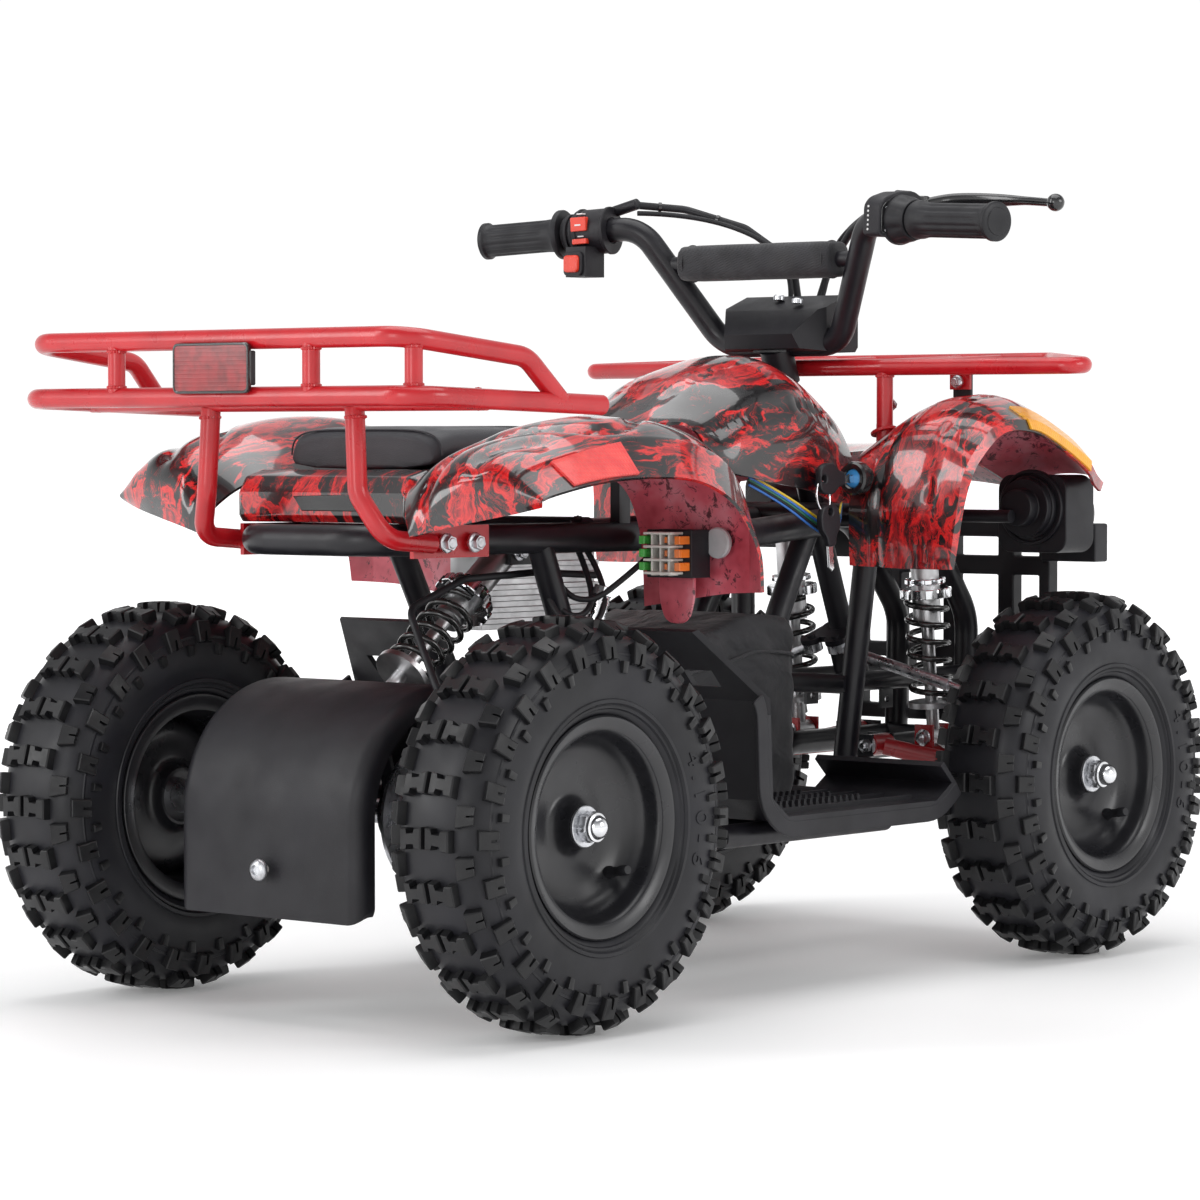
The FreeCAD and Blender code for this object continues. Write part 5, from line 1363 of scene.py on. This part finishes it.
for height in (9.5, -9.5):
    spot = origin - inward * 11.4 + forward * -17.5 + up * height
    screws.spin(spot, -inward, SCREW_HEAD, 24, 0, False)
screws.made("throttle_screws", "steering", [zinc], 30, 0)


def finger_dips(angle, along):
    return -1.5 * (0.5 + 0.5 * math.cos(angle * 9)) ** 2 * math.sin(math.pi * min(1.0, along / 20))


drum = Shape()
DRUM = [(0, 12.5), (0, 17.4), (0.8, 18.0), (4, 18.6), (8, 19.8), (12, 21.2), (16, 21.8), (19, 21.8),
        (20, 21.2), (20, 12.5)]
drum.spin(on_bar(103, -1), inward, DRUM, 108, 0, True, finger_dips)
drum.made("throttle_drum", "steering", [soft_rubber], 35, 0, "plastic_black")
print("throttle done")

# %% [markdown]
# The brake lever is a cast blade that curves in front of the right grip and ends in a ball.
# An oval section is carried along a smooth line, flat on top and thinner towards the tip.
# Cable ties and two thin cables go with it.

# %% Brake lever and cables
lever = Shape()
BLADE_LINE = [(232, -143, 676), (246, -166, 680), (252, -200, 680), (251, -240, 678), (242, -282, 674)]
path = smooth_line(BLADE_LINE, 8)
rows = []
for k, p in enumerate(path):
    run = (path[min(k + 1, len(path) - 1)] - path[max(k - 1, 0)]).normalized()
    side = run.cross(Vector((0, 0, 1))).normalized()
    share = k / (len(path) - 1)
    wide = 5.6 + 1.2 * math.sin(math.pi * min(1, share * 1.25)) - 1.8 * share
    thick = 6.6 + 2.4 * math.sin(math.pi * min(1, share * 1.3)) - 2.6 * share
    ring = []
    for j in range(16):
        a = 2 * math.pi * j / 16
        c, s = math.cos(a), math.sin(a)
        height = Vector((0, 0, 1)) * thick * math.copysign(abs(s) ** 0.8, s) * (0.75 if s > 0 else 1)
        ring.append(p + side * wide * math.copysign(abs(c) ** 0.7, c) + height)
    rows.append(ring)
lever.grid(rows, ring=True)
lever.cap(rows[0]).cap(rows[-1])
angles = [math.pi * k / 12 for k in range(1, 12)]
ball = [(0, 0)] + [(8 - 8 * math.cos(a), 7.9 * math.sin(a)) for a in angles] + [(16, 0)]
lever.spin(path[-1] + Vector((1, 8.5, 0)), (0, -1, 0), ball, 28, 0, False)
lever.rod((172, -143, 668), (234, -143, 676.5), 7.6)
lever.spin((232, -143, 668), (0, 0, 1), [(0, 0), (0, 8), (0.8, 9), (15, 9), (16, 8), (16, 0)], 32, 0, False)
brake_lever = lever.made("brake_lever_blade", "steering", [glossy_black], 35, 0, "plastic_black")
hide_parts("brake_lever")
ties = Shape()
for at, way in (((196, 128, 682), (38, -34, -4)), ((227, 84, 670), (24, -52, -18)),
                ((215, -122, 680), (20, 40, -8)), ((240, -72, 662), (20, 44, -20))):
    ties.spin(at, way, [(-1.4, 3.4), (-1.4, 4.5), (1.4, 4.5), (1.4, 3.4)], 20)
ties.made("cable_ties", "steering", [glossy_black], 35, 0, "rubber_black")
LEFT_ROUTE = [(178, 140, 676), (206, 118, 676), (230, 66, 664), (246, 24, 640), (250, 14, 606),
              (246, 14, 590)]
RIGHT_ROUTE = [(228, -140, 676), (240, -112, 684), (252, -60, 668), (258, -24, 640), (258, -18, 604),
               (252, -16, 590)]
wire("bar_cable_left", LEFT_ROUTE, 2.4, "steering", soft_rubber)
wire("bar_cable_right", RIGHT_ROUTE, 2.2, "steering", soft_rubber)
print("handlebar controls done")

# %% [markdown]
# ## Small hardware and electrics
# Bolts are a washer, a hexagon, a domed crown and, where it shows, the thread's end. One
# helper builds them all from the hexagon's radius, and a table gives their places, so that
# a place can be put right without touching the shape.

# %% Bolts
def hexagon(centre, axis, radius, height):
    """The lower and the upper ring of a hexagonal prism."""
    side = axis.orthogonal().normalized()
    over = axis.cross(side)
    ring = [side * math.cos(a) + over * math.sin(a) for a in (math.pi * k / 3 for k in range(6))]
    return [centre + r * radius for r in ring], [centre + axis * height + r * radius for r in ring]


def bolt(shape, place, way, size, thread=False):
    """A flange bolt, or a nut with the thread's end; size is the hexagon's radius."""
    place, way = Vector(place), Vector(way).normalized()
    washer = [(-1.5, 0), (-1.5, size * 1.35), (0.6, size * 1.35), (1.4, size * 1.1), (1.4, 0)]
    shape.spin(place, way, washer, 28, 0, False)
    low, high = hexagon(place + way * 1.2, way, size, size * 0.8)
    shape.prism(low, high)
    tip = size * 0.8 + 1.0
    crown = [(tip, size * 0.8), (tip + 0.7, size * 0.62), (tip + 0.7, 0)]
    shape.spin(place, way, crown, 24, 0, False)
    if thread:
        end = [(tip, size * 0.48), (tip + 2.6, size * 0.48), (tip + 3.2, size * 0.36), (tip + 3.2, 0)]
        shape.spin(place, way, end, 20, 0, False)
    return shape


AHEAD, BEHIND = (1, 0, 0), (-1, 0, 0)
bolts = Shape()
for side, out in SIDES:
    outward = (0, out, 0)
    for x, y, z, way, size, thread in (
            (-352, 101.8, 384, outward, 6.0, False), (-318, 101.8, 384, outward, 6.0, False),
            (235, 74, 398, outward, 6.0, False), (307, 139, 519, AHEAD, 4.4, True),
            (296, 139, 519, BEHIND, 4.4, False), (253, 96, 498, AHEAD, 4.2, False),
            (260, 66, 187, BEHIND, 6.6, True), (290, 66, 187, AHEAD, 6.6, False),
            (397, 66, 187, BEHIND, 6.6, True), (427, 66, 187, AHEAD, 6.6, False),
            (330, 78, 191, BEHIND, 5.8, True), (309, 78, 395, BEHIND, 5.8, True)):
        bolt(bolts, (x, out * y, z), way, size, thread)
bolt(bolts, (-168, 18, 372), (0, 1, 0), 5.8, True)
bolt(bolts, (-168, -18, 372), (0, -1, 0), 5.8)
bolts.made("chassis_bolts", "chassis", [zinc], 32, 0)
guard_bolt = Shape()
SOCKET_HEAD = [(-1, 0), (-1, 9), (0.4, 9), (2.2, 8), (3.8, 5.6), (4.2, 4.2), (2.4, 3.6), (2.4, 0)]
guard_bolt.spin((-463.9, 0, 124), BEHIND, SOCKET_HEAD, 36, 0, False)
guard_bolt.made("guard_bolt", BODY_OF["axle_guard"], [zinc], 32, 0)
lower_bolts = Shape()
bolt(lower_bolts, (-318, 18, 256), (0, 1, 0), 5.8, True)
bolt(lower_bolts, (-318, -18, 256), (0, -1, 0), 5.8)
lower_bolts.made("swingarm_bolts", BODY_OF["swingarm"], [zinc], 32, 0)
screws = Shape()
COVER_SCREW = [(-2, 0), (-2, 5.2), (1.6, 5.2), (2.6, 4.2), (2.6, 2.4), (1.0, 2.2), (1.0, 0)]
for place in ((208, -24, 592), (222, 8, 596)):
    screws.spin(place, (0.12, 0, 1), COVER_SCREW, 28, 0, False)
screws.made("cover_screws", "steering", [zinc], 32, 0)
print("bolts placed")

# %% [markdown]
# The ignition lock is a black ring around a blue face with a steel key in it, and a second
# key hangs from the first by a wire ring. Both keys are two flat outlines each, a moulded
# head with a hole and a blade with its teeth, pressed to a thickness.

# %% Ignition lock and keys
lock = Shape()
LOCK = Vector((176, -112, 432))
LOCK_RING = [(-8, 0), (-8, 15), (-1, 15.4), (1.6, 15), (3.4, 13.2), (3.4, 9.4), (2.2, 8.2), (1.2, 8.0)]
lock.spin(LOCK, BEHIND, LOCK_RING, 56, 0, False)
lock.spin(LOCK, BEHIND, [(1.0, 8.6), (1.8, 7.6), (2.2, 7.2), (2.2, 0)], 48, 1, False)
lock.spin(LOCK, AHEAD, [(7, 0), (7, 10), (38, 10), (39, 9), (39, 0)], 40, 0, False)
lock_piece = lock.made("ignition_barrel", "chassis", [glossy_black, lock_blue], 32, 0, "plastic_black")
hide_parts("ignition_lock")


HOLE_TURNS = 20
key_hole = []
for k in range(HOLE_TURNS):
    angle = 2 * math.pi * k / HOLE_TURNS
    key_hole.append((-9 + 3.4 * math.cos(angle), 3.4 * math.sin(angle)))
HEAD = [(-15, -9), (-15, 9), (-7, 14), (6, 14), (13, 7), (22, 6), (22, -6), (13, -7), (6, -14), (-7, -14)]
BLADE = [(20, -4), (40, -4), (44, 0), (41, 3), (38, 2), (36, 3.6), (33, 2), (30, 3.8), (27, 2.4), (20, 4)]
for name, place, across, up in (("key_in_lock", (137, -113, 432), (1, 0, 0), (0, 0, 1)),
                                ("key_hanging", (134, -116, 394), (0.1, 0, -1), (1, 0, 0.1))):
    outlines = [rounded(HEAD, 6), key_hole]
    pressed(name + "_head", outlines, place, across, up, 6.4, "chassis", [moulded_black], 1.6)
    pressed(name + "_blade", [BLADE], place, across, up, 2.2, "chassis", [chrome], 0.4)
ring_path = []
for k in range(21):
    c, s = math.cos(math.pi * k / 10), math.sin(math.pi * k / 10)
    ring_path.append(Vector((128 + 9.5 * c, -114.5 + 1.6 * s, 416.5 + 13.5 * s)))
wire("key_ring", ring_path, 0.9, "chassis", chrome)
LOCK_ROUTE = [(214, -112, 432), (226, -108, 434), (232, -96, 424), (230, -84, 408), (224, -72, 396)]
wire("lock_lead", LOCK_ROUTE, 3.2, "chassis", soft_rubber)
print("lock and keys done")

# %% [markdown]
# The fuse block is a black housing with a comb of white ribs between coloured fuses. Its
# leads, and those under the tank cover, are tubes along smooth lines through measured points.

# %% Fuse block, tongue and leads
fuses = Shape()
fuses.block((-133, -176, 352), (-108, -128, 392), 0)
for z in (355, 366, 377, 388):
    fuses.block((-149, -167, z), (-132, -137, z + 2.2), 1)
for y in (-162, -153, -144):
    fuses.block((-145, y, 354), (-132, y + 2, 390), 1)
for z in (358, 369, 380):
    fuses.block((-146, -174, z), (-132, -168, z + 7), 2)
    fuses.block((-146, -136, z), (-132, -130, z + 7), 3)
    fuses.block((-143, -158, z + 1), (-132, -155, z + 6), 2)
FUSE_FINISHES = [moulded_black, fuse_white, fuse_orange, fuse_green]
fuse_piece = fuses.made("fuse_housing", "chassis", FUSE_FINISHES, 30, 0.7, "plastic_black", False)
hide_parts("fuse_block")
disc = Shape()
disc.spin((-106, -184, 381), BEHIND, [(0, 0), (0, 13), (3, 13), (4.2, 11.8), (4.2, 0)], 40, 0, False)
disc.made("fuse_washer", "chassis", [cover_grey], 30, 0)
TONGUE = rounded([(-19, 30), (-19, -6), (-12, -27), (12, -27), (19, -6), (19, 30)], 12, 6)
pressed("fender_tongue", [TONGUE], (-112, -144, 340), *FROM_BEHIND, 3.0, "chassis", [inner_red], 0.8)
LEADS = [(lead_yellow, 0), (lead_blue, 2.2), (lead_green, 4.4), (soft_rubber, 6.6), (lead_blue, 8.8)]
for k, (finish, drop) in enumerate(LEADS):
    route = [(58, -86, 436 - drop), (92, -96, 420 - drop), (128, -104, 400 - drop * 1.4),
             (152, -104, 388 - drop), (172, -100, 396 - drop), (196, -84, 420 - drop)]
    wire(f"tank_lead_{k}", route, 1.1, "chassis", finish)
LOOPS = [((-150, -66, 376), (-156, -92, 340), (-178, -98, 318), (-196, -84, 324), (-190, -66, 352)),
         ((-146, -70, 378), (-148, -100, 344), (-172, -106, 308), (-206, -92, 312), (-200, -68, 356)),
         ((-118, -128, 376), (-140, -112, 352), (-168, -96, 330), (-184, -76, 340), (-186, -60, 372))]
for k, points in enumerate(LOOPS):
    wire(f"cable_loop_{k}", points, 2.6, "chassis", soft_rubber)
plug = Shape()
plug.rod((-160, -92, 306), (-152, -96, 340), 7.5, 32, 0, 1)
plug.rod((-153, -95.5, 336), (-151, -96.5, 344), 9.5, 6, 0, 0.6)
plug.rod((-162, -91, 300), (-160, -92, 308), 5.0, 24, 0, 0.6)
for k in range(4):
    spot = Vector((-159.6 + k * 1.6, -92.2 - k * 0.8, 311 + k * 6))
    plug.spin(spot, (8, -4, 34), [(0, 7), (0, 8.6), (2.6, 8.6), (2.6, 7)], 32, 0)
plug.made("strut_connector", "chassis", [chrome], 32, 0)
print("electrics done")

# %% [markdown]
# The rear rack's reflector is a black rim around deep red glass on a moulded back. The lamps
# show their ribbed backs between the nose and the wheel, and their clear lenses have flutes
# across them inside a black ring. Rings and ribs are turned, and each flute is a thin rod.

# %% Reflector and lamps
REFLECTOR = Vector((-524.3, -10, 522.5))
rim = pressed("reflector_rim", [oblong(42, 20, 6), oblong(39.5, 17.5, 4)], REFLECTOR, *FROM_BEHIND, 4.0,
              "chassis", [glossy_black], 1.0)
pressed("reflector_glass", [oblong(40, 18, 4)], REFLECTOR, *FROM_BEHIND, 3.4, "chassis", [rack_glass], 0.6,
        "reflector_red")
back = Shape()
back.block((-523.2, -48, 509), (-513.4, 28, 536))
back.made("reflector_back", "chassis", [moulded_black], 30, 1.2)
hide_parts("rack_reflector")
LAMP_OUT, BACK_HEIGHT, LENS_HEIGHT = 150, 404, 398
LENS_X, LENS_RADIUS, FLUTE_STEP = 456.2, 27.0, 7.6
LAMP_RING = [(-1, 30.2), (-1, 34), (7, 34), (9, 32.6), (9, 30.6), (4, 30.2)]
ribs, ring, flutes = Shape(), Shape(), Shape()
for side, out in SIDES:
    y = out * LAMP_OUT
    for radius, x in ((35, 398.5), (29, 394), (23, 388), (16, 383)):
        outline = [(-3, 0), (-3, radius), (0.6, radius), (1.6, radius - 1), (1.6, radius - 3),
                   (0, radius - 4), (0, 0)]
        ribs.spin((x, y, BACK_HEIGHT), BEHIND, outline, 56, 0, False)
    ribs.rod((378, y, BACK_HEIGHT), (386, y, BACK_HEIGHT), 6, 24, 0, 1)
    ring.spin((446, y, LENS_HEIGHT), AHEAD, LAMP_RING, 64)
    for row in range(-3, 4):
        half = math.sqrt(LENS_RADIUS ** 2 - (row * FLUTE_STEP) ** 2)
        z = LENS_HEIGHT + row * FLUTE_STEP
        flutes.rod((LENS_X, y - half, z), (LENS_X, y + half, z), 1.2, 8, 0, 0.3)
ribs.made("lamp_backs", "chassis", [moulded_black], 32, 0)
ring.made("lamp_rings", "chassis", [glossy_black], 32, 0)
flutes.made("lens_flutes", "chassis", [lens], 32, 0)
print("reflector and lamps done")

# %% [markdown]
# Each footrest gets what a flat strip lacks: a deep outer flange that runs down the heel guard
# and along the board, a rolled lip inside it, and two rows of teeth that hold a shoe.

# %% Footrest flanges and teeth
SOLE = [(-161, 309), (-107, 251), (-103, 168), (-80, 149), (136, 149), (162, 168)]
FLANGE_THICK = 3.4


def set_out(line, distance):
    """The line moved sideways by so much, its corners kept."""
    result = []
    for k, point in enumerate(line):
        here = Vector(point)
        back = (here - Vector(line[k - 1])).normalized() if k else None
        on = (Vector(line[k + 1]) - here).normalized() if k + 1 < len(line) else None
        runs = [run for run in (back, on) if run]
        sides = [Vector((run.y, -run.x)) for run in runs]
        middle = sum(sides, Vector((0, 0))).normalized()
        result.append(here + middle * distance / middle.dot(sides[0]))
    return result


outer_edge = [tuple(p) for p in rounded(SOLE, 16, 4, False)][2:]
flanges = Shape()
teeth = Shape()
for side, out in SIDES:
    for y, deep in ((235.4, 13.0), (99.0, 6.0)):
        near, far = out * (y - FLANGE_THICK), out * y
        rows = []
        for a, b in zip(set_out(outer_edge, -1.0), set_out(outer_edge, deep)):
            rows.append([Vector((a.x, near, a.y)), Vector((a.x, far, a.y)), Vector((b.x, far, b.y)),
                         Vector((b.x, near, b.y))])
        flanges.grid(rows, 0, True)
        flanges.cap(rows[0]).cap(rows[-1])
    for y in (134.0, 165.0, 196.0):
        for k in range(15):
            x = -52 + k * 8.4
            base = [Vector((x + u, out * (y + v), 153.5)) for u, v in ((0, -3), (7, -3), (7, 3), (0, 3))]
            ridge = [Vector((x + u, out * (y + v), 162))
                     for u, v in ((2.6, -1.6), (4.4, -1.6), (4.4, 1.6), (2.6, 1.6))]
            teeth.prism(base, ridge)
flanges.made("footrest_flanges", "chassis", [moulded_black], 30, 1.2)
teeth.made("footrest_teeth", "chassis", [moulded_black], 30, 0)
print("footrests done")

# %% [markdown]
# The front rack stands on its fender with flanged feet and small black brackets, and each
# shock's spring sits on a notched collar that a hook spanner turns. The collars are turned
# outlines whose radius drops at every notch.

# %% Rack feet and shock collars
FOOT_DISC = [(0, 0), (0, 12), (0.6, 12.6), (2.4, 12.6), (3, 12), (3, 0)]
feet = Shape()
brackets = Shape()
for side, out in SIDES:
    feet.rod((244, out * 96, 481), (244, out * 96, 464), 7.7, 32)
    feet.spin((244, out * 96, 472.5), (0.1, -out * 0.35, 1), FOOT_DISC, 36, 0, False)
    near, far = sorted((out * 129, out * 149))
    brackets.block((303.4, near, 497), (307.0, far, 527))
    brackets.block((292, near, 497), (307.0, far, 503))
feet.made("rack_feet", "chassis", [rack_red], 35, 0, "rack_red")
brackets.made("rack_brackets", "chassis", [frame_black], 30, 0.8, "frame_black")


def notches(angle, along):
    return 0.9 if math.cos(angle * 12) > -0.35 else -1.6


def collar_at(shape, foot, top, share, radius, thick):
    """A notched collar at a share of the way up a shock."""
    foot, top = Vector(foot), Vector(top)
    axis = (top - foot).normalized()
    outline = [(0, 13), (0, radius - 0.7), (0.7, radius), (thick - 0.7, radius), (thick, radius - 0.7),
               (thick, 13)]
    shape.spin(foot + (top - foot) * share, axis, outline, 120, 0, True, notches)


SHOCKS = [((346, out * 78, 191), (326, out * 78, 395), 23.0, 18.0) for side, out in SIDES]
SHOCKS.append(((-318, 0, 256), (-168, 0, 372), 25.5, 19.0))
collars = Shape()
for foot, top, wide, narrow in SHOCKS:
    collar_at(collars, foot, top, 0.636, wide, 9)
    collar_at(collars, foot, top, 0.70, narrow, 5)
collars.made("shock_collars", "chassis", [chrome], 30, 0)
print("feet, brackets and collars done")

# %% [markdown]
# A welder's bead runs round each joint of the frame and the racks: a ring of small ripples
# where one tube meets another.

# %% Weld beads
BEAD, RIPPLES = 1.7, 22
UP = (0, 0, 1)


def ripple(angle, along):
    return 0.35 * math.sin(angle * RIPPLES)


def bead(shape, centre, axis, radius):
    """A rippled ring round a tube of this radius."""
    crest = radius + BEAD * 0.6
    outline = [(-BEAD, radius - 0.6), (-BEAD * 0.5, crest), (BEAD * 0.5, crest), (BEAD, radius - 0.6)]
    shape.spin(centre, axis, outline, RIPPLES * 4, 0, True, ripple)


welds = Shape()
for side, out in SIDES:
    for x, y, z, axis, radius in ((-514, 108, 508.5, UP, 6.8), (-514, 108, 537.0, UP, 6.8),
                                  (-436, 81, 484.5, (0, 0.05, 1), 7.8), (244, 96, 524.0, UP, 7.3),
                                  (-436, 210.5, 498.0, (0, 1, 0), 7.8)):
        bead(welds, (x, out * y, z), axis, radius)
for z in (508.5, 537.5):
    bead(welds, (-502, -204, z), UP, 6.8)
welds.made("rack_welds", "chassis", [rack_red], 40, 0, "rack_red")
black_welds = Shape()
for side, out in SIDES:
    bead(black_welds, (-153, out * 69.5, 391), (0, 1, 0), 10.8)
black_welds.made("frame_welds", "chassis", [frame_black], 40, 0, "frame_black")
print("welds done")

# %% [markdown]
# ## Light and camera
# The photograph has no horizon: a white ground runs into a white wall. A wide floor is made,
# a little rough, and it glows more the farther it is from the vehicle, so that it fades
# into the background without a line.

# %% Floor
FLOOR_REACH = 60.0
floor_mesh = bpy.data.meshes.new("studio_floor")
corners = [(x * FLOOR_REACH, y * FLOOR_REACH, 0) for x, y in ((-1, -1), (1, -1), (1, 1), (-1, 1))]
floor_mesh.from_pydata(corners, [], [(0, 1, 2, 3)])
floor = bpy.data.objects.new("studio_floor", floor_mesh)
bpy.context.scene.collection.objects.link(floor)
pale = Finish("studio_pale", (0.93, 0.93, 0.93), 0.55)
pale.worn(0.5, 0.6, 2).tinted((0.925, 0.925, 0.925), (0.935, 0.935, 0.935), 1)
far = pale.add("ShaderNodeVectorMath", {0: pale.place}, operation="LENGTH").outputs["Value"]
# Painted light: the floor glows 0.14 even right beside the vehicle, which lightens the shadow cast under it,
# and rises to 0.75 from 4 m out.
pale.use("Emission Strength", pale.span(far, 1.0, 4.0, 0.14, 0.75))
pale.shader.inputs["Emission Color"].default_value = (1, 1, 1, 1)
floor_mesh.materials.append(pale.material)
staged = [floor]
print("floor", 2 * FLOOR_REACH, "m wide")

# %% [markdown]
# A big soft lamp hangs overhead, with a strip on the left, one on the right and one from
# behind, as a product photographer lights a glossy black thing: broad reflections draw its
# edges. The world is white at the horizon and grey above, for the film to mirror.

# %% Lamps and world
def lamp(name, place, aim, size, power):
    """A rectangular lamp that looks from its place at a point."""
    light = bpy.data.lights.new(name, "AREA")
    light.shape = "RECTANGLE"
    light.size, light.size_y = size
    light.energy = power
    unit = bpy.data.objects.new(name, light)
    unit.location = place
    unit.rotation_euler = (Vector(aim) - Vector(place)).to_track_quat("-Z", "Y").to_euler()
    bpy.context.scene.collection.objects.link(unit)
    staged.append(unit)


lamp("overhead", (0.1, 0.0, 2.6), (0, 0, 0.2), (2.6, 2.2), 42)
lamp("left_strip", (-2.4, 1.6, 1.6), (0, 0, 0.4), (0.7, 2.2), 26)
lamp("right_strip", (0.6, -2.9, 1.5), (0, 0, 0.4), (1.6, 1.2), 22)
lamp("rear_kick", (-3.0, -0.6, 0.9), (0, 0, 0.3), (0.8, 1.2), 12)
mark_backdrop(*staged)

world = bpy.data.worlds.new("studio")
bpy.context.scene.world = world
world.use_nodes = True
tree = world.node_tree
place = tree.nodes.new("ShaderNodeTexCoord")
split = tree.nodes.new("ShaderNodeSeparateXYZ")
tone = tree.nodes.new("ShaderNodeValToRGB")
tree.links.new(place.outputs["Generated"], split.inputs[0])
tree.links.new(split.outputs["Z"], tone.inputs["Fac"])
tree.links.new(tone.outputs["Color"], tree.nodes["Background"].inputs["Color"])
tone.color_ramp.elements[0].color = (1.04, 1.04, 1.04, 1)
tone.color_ramp.elements[0].position = 0.22
tone.color_ramp.elements[1].position = 0.75
tone.color_ramp.elements[1].color = (0.30, 0.30, 0.31, 1)
tree.nodes["Background"].inputs["Strength"].default_value = 1.0
bpy.context.scene.view_settings.view_transform = "Standard"
print("lamps", len(staged) - 1)

# %% [markdown]
# The camera stands where the photographer stood, behind on the right and low. Its place and
# lens were fitted to the photograph with the four wheels as the scale.

# %% Camera
camera = bpy.data.objects.new("camera", bpy.data.cameras.new("camera"))
camera.data.lens = 129.54
camera.data.sensor_width = 36.0
camera.location = (-2.9108, -2.4211, 0.4681)
camera.rotation_euler = (math.radians(87.85), 0, math.radians(-49.84))
bpy.context.scene.collection.objects.link(camera)
bpy.context.scene.camera = camera
print("camera at", [round(v, 2) for v in camera.location])

# %% [markdown]
# The last cell measures the size of the dressed model.

# %% Size of the dressed model
low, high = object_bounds()
print("model", [round(v, 3) for v in (*low, *high)])
